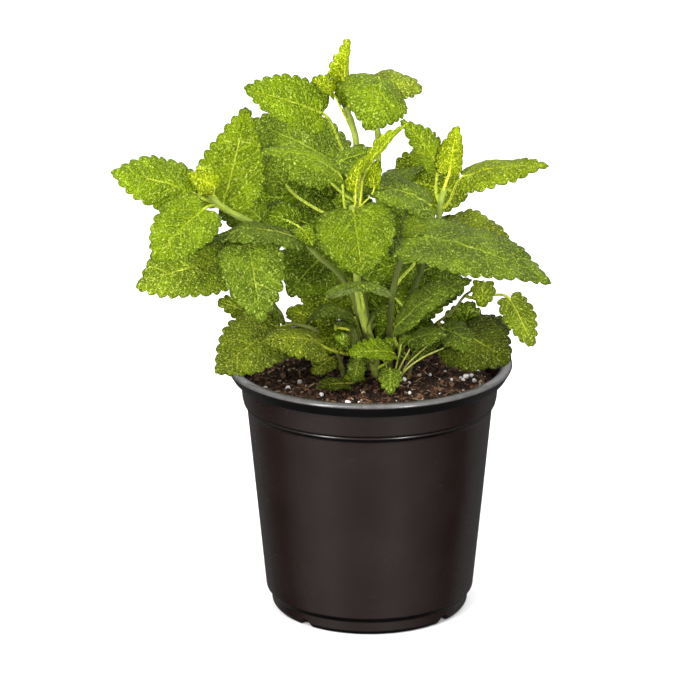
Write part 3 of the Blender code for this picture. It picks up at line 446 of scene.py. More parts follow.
def pot_material():
    t = Tree("pot_plastic")
    where = t.position()
    cloud = t.noise(where, 38.0, 3.0, 0.55)
    grain = t.noise(where, 2600.0, 2.0, 0.6)
    dust = t.noise(where, 240.0, 5.0, 0.7)
    shape = t.nodes.new("ShaderNodeNewGeometry")
    split = t.nodes.new("ShaderNodeSeparateXYZ")
    t.put(split.inputs[0], where)
    facing = t.nodes.new("ShaderNodeSeparateXYZ")
    t.put(facing.inputs[0], shape.outputs["Normal"])
    colour = t.mix(t.ramp(cloud, 0.35, 0.7), (0.0076, 0.0039, 0.0034), (0.0094, 0.0052, 0.0046))
    colour = t.mix(t.ramp(dust, 0.62, 0.80, 0.0, 0.25), colour, (0.024, 0.019, 0.017))
    # painted highlight: the lip's upward face is painted paler, varied by the dust noise, where it catches the light;
    # painted shade: the turned-down edge below it is painted near black
    lip = t.math("MULTIPLY", t.ramp(split.outputs[2], 0.1108, 0.1117), t.ramp(facing.outputs[2], -0.25, 0.20))
    out = t.math("ADD", t.math("MULTIPLY", split.outputs[0], split.outputs[0]),
                 t.math("MULTIPLY", split.outputs[1], split.outputs[1]))
    lip = t.math("MULTIPLY", lip, t.ramp(out, 0.0604 ** 2, 0.0622 ** 2, 0.30, 1.0))
    lip_highlight = t.mix(t.ramp(dust, 0.35, 0.70), (0.058, 0.056, 0.055), (0.080, 0.077, 0.075))
    colour = t.mix(lip, colour, lip_highlight)
    # painted shade: faces that look down are painted near black
    below = t.ramp(facing.outputs[2], -0.50, -0.25, 1.0, 0.0)
    colour = t.mix(below, colour, (0.0008, 0.0008, 0.0008))
    rough = t.math("ADD", t.ramp(cloud, 0.3, 0.7, 0.22, 0.27), t.ramp(dust, 0.6, 0.8, 0.0, 0.10))
    rough = t.math("ADD", rough, t.math("MULTIPLY", below, 0.15))
    normal = t.bump(grain, 0.12, 0.00008)
    return t.finish(colour, rough, normal, Specular_IOR_Level=0.50)


def mix_material():
    t = Tree("potting_mix")
    where = t.position()
    big = t.noise(where, 130.0, 5.0, 0.65)
    fine = t.noise(where, 900.0, 4.0, 0.7)
    colour = t.mix(t.ramp(big, 0.35, 0.68), (0.0045, 0.0020, 0.0011), (0.026, 0.011, 0.005))
    colour = t.mix(t.ramp(fine, 0.55, 0.75, 0.0, 0.6), colour, (0.085, 0.040, 0.019))
    normal = t.bump(fine, 0.9, 0.0006)
    return t.finish(colour, 0.92, normal, Specular_IOR_Level=0.25)


def crumb_material():
    t = Tree("mix_crumbs")
    where = t.position()
    tint = t.attribute("tint")
    fine = t.noise(where, 1100.0, 4.0, 0.7)
    colour = t.mix(t.ramp(tint, 0.0, 0.55), (0.005, 0.0022, 0.0012), (0.050, 0.020, 0.009))
    colour = t.mix(t.ramp(tint, 0.62, 1.0), colour, (0.210, 0.110, 0.052))
    colour = t.mix(t.ramp(tint, 0.955, 0.965), colour, (0.460, 0.360, 0.240))
    colour = t.mix(t.ramp(fine, 0.4, 0.75, 0.0, 0.5), colour, (0.095, 0.045, 0.022))
    normal = t.bump(fine, 0.8, 0.0004)
    return t.finish(colour, 0.88, normal, Specular_IOR_Level=0.3)


def fibre_material():
    t = Tree("mix_fibres")
    where = t.position()
    tint = t.attribute("tint")
    fine = t.noise(where, 1500.0, 3.0, 0.6)
    colour = t.mix(tint, (0.026, 0.010, 0.005), (0.330, 0.170, 0.085))
    colour = t.mix(t.ramp(tint, 0.93, 0.96), colour, (0.480, 0.360, 0.220))
    colour = t.mix(t.ramp(fine, 0.4, 0.7, 0.0, 0.5), colour, (0.050, 0.022, 0.010))
    return t.finish(colour, 0.8, t.bump(fine, 0.6, 0.0003), Specular_IOR_Level=0.3)


def perlite_material():
    t = Tree("perlite")
    where = t.position()
    pits = t.voronoi(where, 2200.0, "F1")
    # painted shade: the grain is painted greyer in its pits
    colour = t.mix(t.ramp(pits, 0.1, 0.5), (0.50, 0.47, 0.42), (0.86, 0.85, 0.82))
    return t.finish(colour, 0.9, t.bump(pits, 0.8, 0.0003), Specular_IOR_Level=0.3)


MATERIALS = {
    "pot_plastic": pot_material(),
    "potting_mix": mix_material(),
    "stem_green": stem_material(),
    "leaf_young": leaf_material("young"),
    "leaf_mid": leaf_material("mid"),
    "leaf_deep": leaf_material("deep"),
    "crumbs": crumb_material(),
    "fibres": fibre_material(),
    "perlite": perlite_material(),
}


# ---- mesh helpers --------------------------------------------------------
def mesh_object(name, verts, faces, mat, attributes=None, uvs=None, smooth=True):
    """A mesh from millimetre points. faces is a list of index tuples, uvs holds per-vertex (x, y) arrays."""
    me = bpy.data.meshes.new(name)
    me.from_pydata((np.asarray(verts, float) * MM).tolist(), [], faces)
    me.update()
    me.materials.append(mat)
    if smooth:
        me.shade_smooth()
    for key, values in (attributes or {}).items():
        layer = me.attributes.new(key, "FLOAT", "POINT")
        layer.data.foreach_set("value", np.asarray(values, np.float32))
    for key, values in (uvs or {}).items():
        layer = me.uv_layers.new(name=key)
        corner = np.zeros(len(me.loops), np.int32)
        me.loops.foreach_get("vertex_index", corner)
        layer.data.foreach_set("uv", np.asarray(values, np.float32)[corner].ravel())
    ob = bpy.data.objects.new(name, me)
    LOOKS.objects.link(ob)
    return ob


def grid_faces(rows, cols, start=0, close=False, flip=False):
    """Quads of a rows x cols point grid; close joins the last column to the first."""
    faces = []
    last = cols if close else cols - 1
    for i in range(rows - 1):
        for j in range(last):
            a = start + i * cols + j
            b = start + i * cols + (j + 1) % cols
            c = b + cols
            d = a + cols
            faces.append((a, d, c, b) if flip else (a, b, c, d))
    return faces


def rounded(points, cut=0.8, steps=4):
    """A (radius, height) line with each corner eased."""
    pts = [np.array(p, float) for p in points]
    out = [pts[0]]
    for a, b, c in zip(pts, pts[1:], pts[2:]):
        back, ahead = a - b, c - b
        lb, la = np.linalg.norm(back), np.linalg.norm(ahead)
        reach = min(cut, 0.45 * lb, 0.45 * la)
        p, q = b + back / lb * reach, b + ahead / la * reach
        for i in range(steps + 1):
            t = i / steps
            out.append(p * (1 - t) ** 2 + b * 2 * t * (1 - t) + q * t * t)
    out.append(pts[-1])
    return out


def curve_through(points, samples):
    """Points spread evenly along a smooth curve through the given ones (Catmull-Rom)."""
    pts = np.array(points, float)
    ext = np.vstack([2 * pts[0] - pts[1], pts, 2 * pts[-1] - pts[-2]])
    fine = []
    for i in range(len(pts) - 1):
        p0, p1, p2, p3 = ext[i:i + 4]
        for t in np.linspace(0, 1, 24, endpoint=False):
            fine.append(0.5 * (2 * p1 + (p2 - p0) * t + (2 * p0 - 5 * p1 + 4 * p2 - p3) * t ** 2
                               + (3 * p1 - p0 - 3 * p2 + p3) * t ** 3))
    fine.append(pts[-1])
    fine = np.array(fine)
    run = np.concatenate([[0.0], np.cumsum(np.linalg.norm(np.diff(fine, axis=0), axis=1))])
    want = np.linspace(0, run[-1], samples)
    return np.stack([np.interp(want, run, fine[:, k]) for k in range(fine.shape[1])], axis=1)


def unit(v):
    return v / np.maximum(np.linalg.norm(v, axis=-1, keepdims=True), 1e-12)


# ---- pot -----------------------------------------------------------------
def pot_profile():
    neck_in = NECK_RADIUS - WALL
    top = POT_HEIGHT
    return [
        (0.0, FLOOR), (20.0, FLOOR), (BASE_RADIUS - 1.2, FLOOR), (FOOT_RADIUS - WALL, FLOOR + 1.6),
        (FOOT_RADIUS - WALL, FOOT_TOP - 1.2), (FOOT_WALL_RADIUS - WALL, FOOT_TOP + 0.8),
        (0.5 * (FOOT_WALL_RADIUS + SHOULDER_RADIUS) - WALL, 0.5 * (FOOT_TOP + SHOULDER_TOP)),
        (SHOULDER_RADIUS - WALL, SHOULDER_TOP + 0.4), (NECK_RADIUS - 1.0 - WALL, NECK_BOTTOM + 0.6),
        (neck_in, top - 6.5), (neck_in + 1.0, top - 2.6), (neck_in + 2.6, top - 0.6), (RIM_RADIUS - 3.2, top),
        (RIM_RADIUS - 1.1, top - 0.1), (RIM_RADIUS - 0.2, top - 0.8), (RIM_RADIUS, top - 1.7),
        (RIM_RADIUS - 0.5, top - 2.6), (RIM_RADIUS - 2.6, top - SKIRT_DROP),
        (RIM_RADIUS - 3.2, top - SKIRT_DROP - 0.3), (RIM_RADIUS - 3.7, top - SKIRT_DROP + 0.2),
        (RIM_RADIUS - 0.6 - SKIRT, top - 2.9), (RIM_RADIUS - 1.5 - SKIRT, top - 1.5),
        (NECK_RADIUS + 0.9, top - 2.6), (NECK_RADIUS, top - 6.4), (NECK_RADIUS - 1.0, NECK_BOTTOM + 1.5),
        (NECK_RADIUS - 1.6, NECK_BOTTOM + 0.4), (NECK_RADIUS - 1.4, NECK_BOTTOM), (NECK_RADIUS - 1.6, NECK_BOTTOM - 0.5),
        (SHOULDER_RADIUS + 0.2, SHOULDER_TOP + 0.5), (SHOULDER_RADIUS - 0.2, SHOULDER_TOP - 1.0),
        (0.5 * (FOOT_WALL_RADIUS + SHOULDER_RADIUS), 0.5 * (FOOT_TOP + SHOULDER_TOP)),
        (FOOT_WALL_RADIUS, FOOT_TOP), (FOOT_RADIUS, FOOT_TOP - 2.0), (FOOT_RADIUS - 0.3, 1.8),
        (BASE_RADIUS, 0.0), (20.0, 0.0), (0.0, 0.0),
    ]


def make_pot():
    line = rounded(pot_profile(), 0.9, 4)
    ring = line[1:-1]
    angles = np.linspace(0, math.tau, POT_STEPS, endpoint=False)
    verts = [(0.0, 0.0, line[0][1])]
    for r, z in ring:
        wobble = 1.0 + 0.0007 * np.sin(3 * angles + 0.05 * z) * min(1.0, z / 60.0)
        for a, w in zip(angles, wobble):
            verts.append((r * w * math.sin(a), -r * w * math.cos(a), z))
    verts.append((0.0, 0.0, line[-1][1]))
    faces = grid_faces(len(ring), POT_STEPS, 1, close=True, flip=True)
    last = len(verts) - 1
    for j in range(POT_STEPS):
        faces.append((0, 1 + j, 1 + (j + 1) % POT_STEPS))
        b = 1 + (len(ring) - 1) * POT_STEPS
        faces.append((last, b + (j + 1) % POT_STEPS, b + j))
    ob = mesh_object("pot_shell", verts, faces, MATERIALS["pot_plastic"])
    fix_normals(ob)
    cutters = []
    for i in range(DRAIN_COUNT):
        angle = math.radians(DRAIN_FIRST_DEG + 360.0 * i / DRAIN_COUNT)
        out = Vector((math.sin(angle), -math.cos(angle), 0.0))
        bm = bmesh.new()
        bmesh.ops.create_cone(bm, cap_ends=True, segments=40, radius1=DRAIN_RADIUS * MM, radius2=DRAIN_RADIUS * MM,
                              depth=9.0 * MM)
        me = bpy.data.meshes.new("drain")
        bm.to_mesh(me)
        bm.free()
        cut = bpy.data.objects.new("drain_%d" % (i + 1), me)
        LOOKS.objects.link(cut)
        cut.matrix_world = Matrix.Translation(out * (44.0 * MM)) @ out.to_track_quat("Z", "X").to_matrix().to_4x4()
        mod = ob.modifiers.new(cut.name, "BOOLEAN")
        mod.operation = "DIFFERENCE"
        mod.object = cut
        cutters.append(cut)
    bpy.context.view_layer.update()
    made = bpy.data.meshes.new_from_object(ob.evaluated_get(bpy.context.evaluated_depsgraph_get()))
    ob.modifiers.clear()
    ob.data = made
    for cut in cutters:
        bpy.data.objects.remove(cut, do_unlink=True)
    made.set_sharp_from_angle(angle=math.radians(40))
    finish_piece(ob, "pot_plastic", "pot")
    return ob


def fix_normals(ob):
    bm = bmesh.new()
    bm.from_mesh(ob.data)
    bmesh.ops.recalc_face_normals(bm, faces=bm.faces)
    bm.to_mesh(ob.data)
    bm.free()


def finish_piece(ob, slot, *nodes):
    if nodes:
        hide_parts(*nodes)
    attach(ob, "root")
    return ob


# ---- potting mix ---------------------------------------------------------
def soil_height(x, y):
    r = math.hypot(x, y)
    mound = SOIL_CROWN * (1.0 - (r / 56.0) ** 2)
    lumps = 0.45 * math.sin(0.31 * x + 0.7) * math.cos(0.27 * y - 0.4) + 0.3 * math.sin(0.17 * x - 0.41 * y)
    return SOIL_EDGE + mound + lumps * min(1.0, (56.0 - r) / 12.0)


def rough_height(x, y):
    """The mix's surface with its clods."""
    r = math.hypot(x, y)
    clod = noise.fractal(Vector((x * 0.16, y * 0.16, 3.1)), 1.0, 2.0, 3) * 1.5
    grit = noise.fractal(Vector((x * 0.55, y * 0.55, 7.7)), 0.9, 2.1, 3) * 0.65
    return soil_height(x, y) + clod + grit - 0.5 - 0.9 * max(0.0, (r - 50.0) / 6.0) ** 2


def make_soil(rng):
    rings, steps = 84, 300
    verts = [(0.0, 0.0, rough_height(0.0, 0.0))]
    for i in range(1, rings + 1):
        r = SOIL_RADIUS * (i / rings) ** 0.85
        for j in range(steps):
            a = math.tau * j / steps
            x, y = r * math.sin(a), -r * math.cos(a)
            verts.append((x, y, rough_height(x, y)))
    side = [(NECK_RADIUS - WALL - 1.5, 97.0), (SHOULDER_RADIUS - WALL - 0.6, 92.5), (FOOT_WALL_RADIUS - WALL - 0.5, 10.0),
            (FOOT_RADIUS - WALL - 0.5, 7.0), (BASE_RADIUS - 1.8, FLOOR + 0.5)]
    for r, z in side:
        for j in range(steps):
            a = math.tau * j / steps
            verts.append((r * math.sin(a), -r * math.cos(a), z))
    verts.append((0.0, 0.0, FLOOR + 0.5))
    faces = grid_faces(rings + len(side), steps, 1, close=True)
    last = len(verts) - 1
    b = 1 + (rings + len(side) - 1) * steps
    for j in range(steps):
        faces.append((0, 1 + (j + 1) % steps, 1 + j))
        faces.append((last, b + j, b + (j + 1) % steps))
    ob = mesh_object("mix_bed", verts, faces, MATERIALS["potting_mix"])
    fix_normals(ob)
    finish_piece(ob, "potting_mix", "potting_mix")

    scatter_lumps("mix_crumbs", rng, 2400, (0.30, 1.45), "crumbs")
    scatter_fibres("mix_fibres", rng, 1100)
    perlite = [(43, 1, 1.5), (40.5, 4.5, 1.0), (45.5, 5.5, 1.2), (41.5, -3.0, 1.0), (46.5, -1.5, 1.1), (38.5, 0.5, 0.9),
               (-36, -11.5, 1.6), (-31, -4.5, 1.4), (-46, -13, 1.3), (-13, -33.5, 1.5), (-9.5, -33, 1.4),
               (-21, -24, 1.0), (15.5, 0.5, 1.1), (17.5, -3.5, 0.9), (27, 5.5, 0.9), (36.5, -1.5, 1.0), (48.5, 14.5, 1.0)]
    for _ in range(90):
        a, r = rng.uniform(0, math.tau), 54.0 * math.sqrt(rng.uniform(0.02, 1))
        perlite.append((r * math.sin(a), -r * math.cos(a), 0.22 + 0.75 * rng.uniform(0, 1) ** 2.2))
    lumps("perlite_grains", rng, [(x, y, rough_height(x, y) + 0.35 * s, s) for x, y, s in perlite], "perlite",
          jag=0.34, flat=(0.7, 1.0))


def ico_points():
    bm = bmesh.new()
    bmesh.ops.create_icosphere(bm, subdivisions=2, radius=1.0)
    pts = np.array([v.co[:] for v in bm.verts])
    faces = [tuple(v.index for v in f.verts) for f in bm.faces]
    bm.free()
    return pts, faces


ICO_POINTS, ICO_FACES = ico_points()


def turned_at_random(rng):
    q = rng.normal(size=4)
    q /= np.linalg.norm(q)
    w, x, y, z = q
    return np.array([[1 - 2 * (y * y + z * z), 2 * (x * y - z * w), 2 * (x * z + y * w)],
                     [2 * (x * y + z * w), 1 - 2 * (x * x + z * z), 2 * (y * z - x * w)],
                     [2 * (x * z - y * w), 2 * (y * z + x * w), 1 - 2 * (x * x + y * y)]])


def lumps(name, rng, places, mat, jag=0.3, flat=(0.5, 1.0)):
    """Irregular grains at (x, y, z, size), all in one mesh."""
    verts, faces, tint = [], [], []
    for x, y, z, size in places:
        base = len(verts)
        seed = Vector(rng.uniform(-50, 50, 3))
        bump = np.array([noise.noise(Vector(p) * 1.3 + seed) + 0.5 * noise.noise(Vector(p) * 3.1 + seed)
                         for p in ICO_POINTS])
        pts = ICO_POINTS * (1.0 + jag * bump)[:, None] * np.array([1.0, rng.uniform(*flat), rng.uniform(*flat)])
        pts = pts @ turned_at_random(rng).T * size + np.array([x, y, z])
        verts.extend(pts.tolist())
        faces.extend(tuple(base + i for i in f) for f in ICO_FACES)
        tint.extend([rng.uniform()] * len(pts))
    ob = mesh_object(name, verts, faces, MATERIALS[mat], {"tint": tint}, smooth=False)
    return finish_piece(ob, "potting_mix")


def scatter_lumps(name, rng, count, sizes, mat):
    places = []
    for _ in range(count):
        a, r = rng.uniform(0, math.tau), 54.6 * math.sqrt(rng.uniform(0, 1))
        x, y = r * math.sin(a), -r * math.cos(a)
        size = sizes[0] + (sizes[1] - sizes[0]) * rng.uniform() ** 2.4
        places.append((x, y, rough_height(x, y) + rng.uniform(-0.2, 0.5) * size, size))
    return lumps(name, rng, places, mat, jag=0.42, flat=(0.45, 0.95))


def scatter_fibres(name, rng, count):
    """Splinters of bark and thin roots lying on the mix."""
    verts, faces, tint = [], [], []
    for _ in range(count):
        a, r = rng.uniform(0, math.tau), 53.0 * math.sqrt(rng.uniform(0, 1))
        x, y = r * math.sin(a), -r * math.cos(a)
        length = 1.4 + 5.0 * rng.uniform() ** 2
        thick = rng.uniform(0.12, 0.38)
        heading = rng.uniform(0, math.tau)
        pitch = rng.normal() * 0.16
        bend = rng.normal() * 0.5
        base = len(verts)
        shade = rng.uniform()
        n = 7
        for i in range(n):
            t = i / (n - 1) - 0.5
            h = heading + bend * t
            cx, cy = x + math.cos(h) * length * t, y + math.sin(h) * length * t
            rr = math.hypot(cx, cy)
            if rr > 54.8:
                cx, cy = cx * 54.8 / rr, cy * 54.8 / rr
            cz = rough_height(cx, cy) * 0.5 + rough_height(x, y) * 0.5 + 0.45 + math.sin(pitch) * length * t
            fat = thick * (1.0 - 0.75 * abs(2 * t) ** 3)
            for j in range(6):
                b = math.tau * j / 6
                verts.append((cx - math.sin(h) * fat * math.cos(b), cy + math.cos(h) * fat * math.cos(b),
                              cz + 0.55 * fat * math.sin(b)))
                tint.append(shade)
        faces.extend(grid_faces(n, 6, base, close=True))
        faces.append(tuple(base + j for j in reversed(range(6))))
        faces.append(tuple(base + (n - 1) * 6 + j for j in range(6)))
    ob = mesh_object(name, verts, faces, MATERIALS["fibres"], {"tint": tint})
    fix_normals(ob)
    return finish_piece(ob, "potting_mix")


# ---- stems ---------------------------------------------------------------
def frames_along(path, hint=None):
    """Unit tangents and two steady cross directions along a line of points."""
    tangent = unit(np.gradient(path, axis=0))
    a = np.zeros_like(path)
    start = np.array(hint if hint is not None else (1.0, 0.3, 0.1), float)
    prev = start
    for i, t in enumerate(tangent):
        prev = prev - t * prev.dot(t)
        prev = prev / max(np.linalg.norm(prev), 1e-9)
        a[i] = prev
    return tangent, a, np.cross(tangent, a)


def tube_points(path, radii, sides, square=0.0, squash=1.0, hint=None):
    """Rings of points round a path. square pulls the section towards a rounded square."""
    tangent, a, b = frames_along(path, hint)
    out = []
    for p, u, v, r in zip(path, a, b, radii):
        for j in range(sides):
            ang = math.tau * j / sides
            k = 1.0 + square * math.cos(4 * ang)
            out.append(p + (u * math.cos(ang) + v * math.sin(ang) * squash) * r * k)
    return out


def capped_tube(path, radii, sides, start, square=0.0, squash=1.0, hint=None):
    ring = tube_points(path, radii, sides, square, squash, hint)
    faces = grid_faces(len(path), sides, start, close=True, flip=False)
    faces.append(tuple(start + j for j in reversed(range(sides))))
    faces.append(tuple(start + (len(path) - 1) * sides + j for j in range(sides)))
    return ring, faces


def make_stem(name, radius, points):
    samples = max(60, int(len(points) * 26))
    path = curve_through(points, samples)
    share = np.linspace(0, 1, samples)
    thin = {"stem_right_low": 0.60, "stem_left_low": 0.80}.get(name, 0.92)
    radii = radius * thin * (1.0 - 0.28 * share)
    knot = np.zeros(samples)
    for stem, where, *_ in LEAVES.values():
        if stem == name:
            knot = np.maximum(knot, np.exp(-((share - where) / 0.016) ** 2))
    radii = radii * (1.0 + 0.22 * knot)
    radii[-3:] *= (0.9, 0.7, 0.35)
    ring, faces = capped_tube(path, radii, 20, 0, square=0.07)
    attrs = {"rise": np.repeat((path[:, 2] - 100.0) / 60.0, 20), "knot": np.repeat(knot, 20),
             "brown": np.full(samples * 20, 0.75 if name == "stem_right_low" else 0.0),
             "dim": np.repeat(FOLIAGE_SHADE.get(name, 0.0) * np.clip((190.0 - path[:, 2]) / 25.0, 0, 1), 20)}
    ob = mesh_object(name + "_skin", ring, faces, MATERIALS["stem_green"], attrs)
    fix_normals(ob)
    return finish_piece(ob, "stem_green", *([name] if name in STEMS else []))


def stem_point(stem, share):
    radius, points = STEMS[stem]
    pts = [np.array(p, float) for p in points]
    lengths = [np.linalg.norm(b - a) for a, b in zip(pts, pts[1:])]
    left = share * sum(lengths)
    for i, (a, b, size) in enumerate(zip(pts, pts[1:], lengths)):
        if left <= size or i == len(lengths) - 1:
            k = min(left / size, 1.0)
            along = (i + k) / len(lengths)
            return a + (b - a) * k, unit(b - a), radius * (1.0 - 0.28 * along)
        left -= size


# ---- leaves --------------------------------------------------------------
def toothed_margin(length, width, rng, pitch, acute):
    """One side's margin in the blade's own plane: smooth points, their run lengths, where the teeth begin and how many
    there are.
    """
    shape = [(u, w * (1.0 - acute * max(0.0, u - 0.30) * min(1.0, (1.0 - u) / 0.2))) for u, w in MARGIN]
    line = curve_through([(u * length, w * 0.5 * width) for u, w in shape], 500)
    run = np.concatenate([[0.0], np.cumsum(np.linalg.norm(np.diff(line, axis=0), axis=1))])
    total = run[-1]
    first = 0.115 * total
    teeth = max(4, int(round((total - first) / pitch)))
    return line, run, total, first, teeth


def tooth_curve(f):
    """Bulge of a tooth, 0 in its notches, at a share f of the way along it."""
    g = np.clip(f, 0, 1) ** 1.18
    return np.sin(np.pi * g) ** 0.62


def voronoi_gap(x, y, seed, scale):
    """How far a point is from the border of its cell, in cell sizes."""
    d, _ = noise.voronoi(Vector((x * scale, y * scale, seed)))
    return d[1] - d[0]


def bezier(p0, p1, p2, p3, t):
    s = 1.0 - t
    return p0 * s ** 3 + p1 * (3 * s * s * t) + p2 * (3 * s * t * t) + p3 * t ** 3


def leaf_mesh(name, spec, rng):
    stem, share, base, tip, width, face, arch, fold, tone = spec
    base, tip, face = np.array(base, float), np.array(tip, float), unit(np.array(face, float))
    chord = tip - base
    length = np.linalg.norm(chord)
    axis = chord / length
    up = unit(face - axis * face.dot(axis))
    pitch = np.clip(TOOTH_PITCH * (0.62 + 0.010 * length), 2.2, 5.0)
    line, run, total, first, teeth = toothed_margin(length, width, rng, pitch, 0.55 if name in ACUTE else 0.0)

    # rows: a few round the stalk end, then whole teeth
    lead = 5
    rows = lead + teeth * TOOTH_ROWS + 1
    arc = np.concatenate([np.linspace(0, first, lead, endpoint=False),
                          np.linspace(first, total, teeth * TOOTH_ROWS + 1)])
    smooth = np.stack([np.interp(arc, run, line[:, k]) for k in range(2)], axis=1)
    along = unit(np.gradient(smooth, axis=0))
    outward = np.stack([-along[:, 1], along[:, 0]], axis=1)
    spine_x = length * np.clip((arc / total), 0, 1) ** 1.06

    half_cols = int(np.clip(round(0.5 * width / CELL), 7, 34))
    k = np.linspace(0, 1, half_cols + 1)
    k = 1.0 - (1.0 - k) ** 1.12
    sides = []
    for sign in (-1, 1):
        cuts = np.linspace(first, total, teeth + 1)
        cuts[1:-1] += rng.normal(size=teeth - 1) * 0.07 * (total - first) / teeth
        where = np.interp(arc, np.linspace(first, total, teeth + 1), cuts)
        smooth_side = np.stack([np.interp(np.where(arc < first, arc, where), run, line[:, c]) for c in range(2)], axis=1)
        phase = (arc - first) / (total - first) * teeth
        f = phase - np.floor(np.minimum(phase, teeth - 1e-9))
        f = np.where(arc <= first, 0.0, f)
        f[-1] = 1.0
        size = rng.uniform(0.85, 1.15, teeth)
        which = np.clip(np.floor(phase), 0, teeth - 1).astype(int)
        depth = 0.34 * (total - first) / teeth * size[which]
        fade = np.clip((arc - first * 0.8) / (0.10 * total), 0, 1) * np.clip((total - arc) / (0.05 * total), 0.35, 1)
        bulge = np.where(arc <= first, 0.0, tooth_curve(f)) - 0.42
        bulge = np.where(arc <= first, 0.0, bulge)
        offset = outward * (depth * fade * bulge)[:, None] + along * (0.30 * depth * fade * np.maximum(bulge, 0))[:, None]
        edge_pts = smooth_side
        inner = np.stack([spine_x, np.zeros(rows)], axis=1)
        grid = inner[:, None, :] + (edge_pts - inner)[:, None, :] * k[None, :, None]
        grid = grid + offset[:, None, :] * (k ** 7)[None, :, None]
        grid[:, :, 1] *= sign
        sides.append(grid)
    flat = np.concatenate([sides[0][:, ::-1][:, :-1], sides[1]], axis=1)      # rows x cols x 2
    cols = flat.shape[1]
    kk = np.concatenate([k[::-1][:-1], k])
    signed = np.concatenate([-k[::-1][:-1], k])
    x, s = flat[:, :, 0], flat[:, :, 1]

    # veins: side veins leave the midrib and bend towards the tip
    seed = float(rng.uniform(0, 100))
    veins = int(np.clip(round(length / 6.2), 4, 7))
    gap = length * 0.88 / veins
    dist_mid = np.abs(s)
    sway = np.array([[noise.noise(Vector((a * 0.11, b * 0.11, seed))) for a, b in zip(ra, rb)] for ra, rb in zip(x, s)])
    lean = 0.60 * dist_mid + 0.42 * dist_mid ** 2 / (0.5 * width)
    phase = (x - lean - 0.03 * length) / gap + np.where(s > 0, 0.0, rng.uniform(0.3, 0.6)) + 0.45 * sway
    near = np.abs(phase - np.round(phase)) * gap * 0.78
    vein_side = np.exp(-(near / 0.40) ** 2) * np.clip(1.15 - kk[None, :], 0, 1) ** 0.35
    vein_mid = np.exp(-(dist_mid / (0.60 * (1.1 - x / length * 0.7))) ** 2) * (x > -0.02 * length)
    cells = 0.44 if width > 16 else 0.60
    quilt = np.array([[voronoi_gap(a + 0.8 * c, b - 0.6 * c, seed, cells) for a, b, c in zip(ra, rb, rc)]
                      for ra, rb, rc in zip(x, s, sway)])
    quilt = np.clip(quilt / 0.50, 0, 1)
    quilt = quilt * quilt * (3 - 2 * quilt)
    puff = np.sin(np.clip(near / (0.5 * gap * 0.78), 0, 1) * np.pi / 2) ** 0.8
    margin_fade = np.clip((1 - kk) / 0.10, 0.15, 1)[None, :]
    scale = min(1.0, width / 26.0) ** 0.7
    relief = (0.34 * puff + 0.11 * quilt) * margin_fade
    lift = scale * (relief - 0.42 * vein_mid - 0.12 * vein_side + 1.1 * sway)

    # put the blade in space
    u = x / length
    point = base + chord * u[..., None] + up * (arch * 4.0 * u * (1.0 - u))[..., None]
    heading = unit(chord + up * (arch * 4.0 * (1.0 - 2.0 * u))[..., None])
    side = unit(np.cross(heading, up))
    normal = np.cross(side, heading)
    rise = np.radians(fold) * np.minimum(np.abs(s) / (0.5 * width), 1.05)
    ripple = 0.85 * scale * np.sin(u * rng.uniform(9, 13) + np.where(s > 0, 0.0, 2.1) + rng.uniform(0, 6)) * kk[None, :] ** 3
    droop = -0.35 * scale * kk[None, :] ** 4
    surface = (point + side * (s * np.cos(rise))[..., None]
               + normal * (np.abs(s) * np.sin(rise) + ripple + droop)[..., None])

    def surface_normals(p):
        du = np.gradient(p, axis=0)
        dv = np.gradient(p, axis=1)
        return unit(np.cross(dv, du) * -1.0)

    n0 = surface_normals(surface)
    if (n0 * normal).sum(-1).mean() < 0:
        n0 = -n0
    mid = surface + n0 * lift[..., None]
    n1 = surface_normals(mid)
    if (n1 * normal).sum(-1).mean() < 0:
        n1 = -n1
    thick = LEAF_THICKNESS * np.clip((1 - kk) / 0.06, 0.45, 1)[None, :] * np.ones_like(x)
    thick[-1] *= 0.5
    top = mid + n1 * (0.5 * thick)[..., None]
    rib = 0.30 * scale * vein_mid + 0.16 * scale * vein_side
    bottom = mid - n1 * (0.5 * thick + rib * margin_fade)[..., None]
    count = rows * cols
    verts = np.concatenate([top.reshape(-1, 3), bottom.reshape(-1, 3)])
    faces = grid_faces(rows, cols, 0, flip=False) + grid_faces(rows, cols, count, flip=True)
    rim = [j for j in range(cols)] + [i * cols + cols - 1 for i in range(1, rows)]
    rim += [(rows - 1) * cols + j for j in range(cols - 2, -1, -1)] + [i * cols for i in range(rows - 2, 0, -1)]
    for a, b in zip(rim, rim[1:] + rim[:1]):
        faces.append((b, a, a + count, b + count))
    edge_mm = ((1 - kk)[None, :] * np.linalg.norm(smooth - np.stack([spine_x, np.zeros(rows)], 1), axis=1)[:, None])
    attrs = {
        "phase": np.tile(phase.ravel() + 40.0, 2),
        "gap": np.full(2 * count, gap),
        "middle": np.tile(dist_mid.ravel(), 2),
        "reach": np.tile(np.broadcast_to(kk[None, :], x.shape).ravel(), 2),
        "share": np.tile(np.clip(x / length, 0, 1).ravel(), 2),
        "edge": np.tile(edge_mm.ravel(), 2),
        "quilt": np.tile(quilt.ravel(), 2),
        "under": np.concatenate([np.zeros(count), np.ones(count)]),
        "stalk": np.zeros(2 * count),
    }
    mm = np.stack([x.ravel() + seed, s.ravel()], axis=1)
    mm = np.concatenate([mm, mm + np.array([0.0, 90.0])])

    # top and underside side by side in one layout; this layout is not put on the mesh
    span_x, span_y = x.max() - x.min(), s.max() - s.min()
    size = max(span_x, 2 * span_y + 3.0)
    bake_top = np.stack([(x.ravel() - x.min()), (s.ravel() - s.min())], axis=1)
    bake_bottom = bake_top + np.array([0.0, span_y + 2.0])
    bake = np.concatenate([bake_top, bake_bottom])

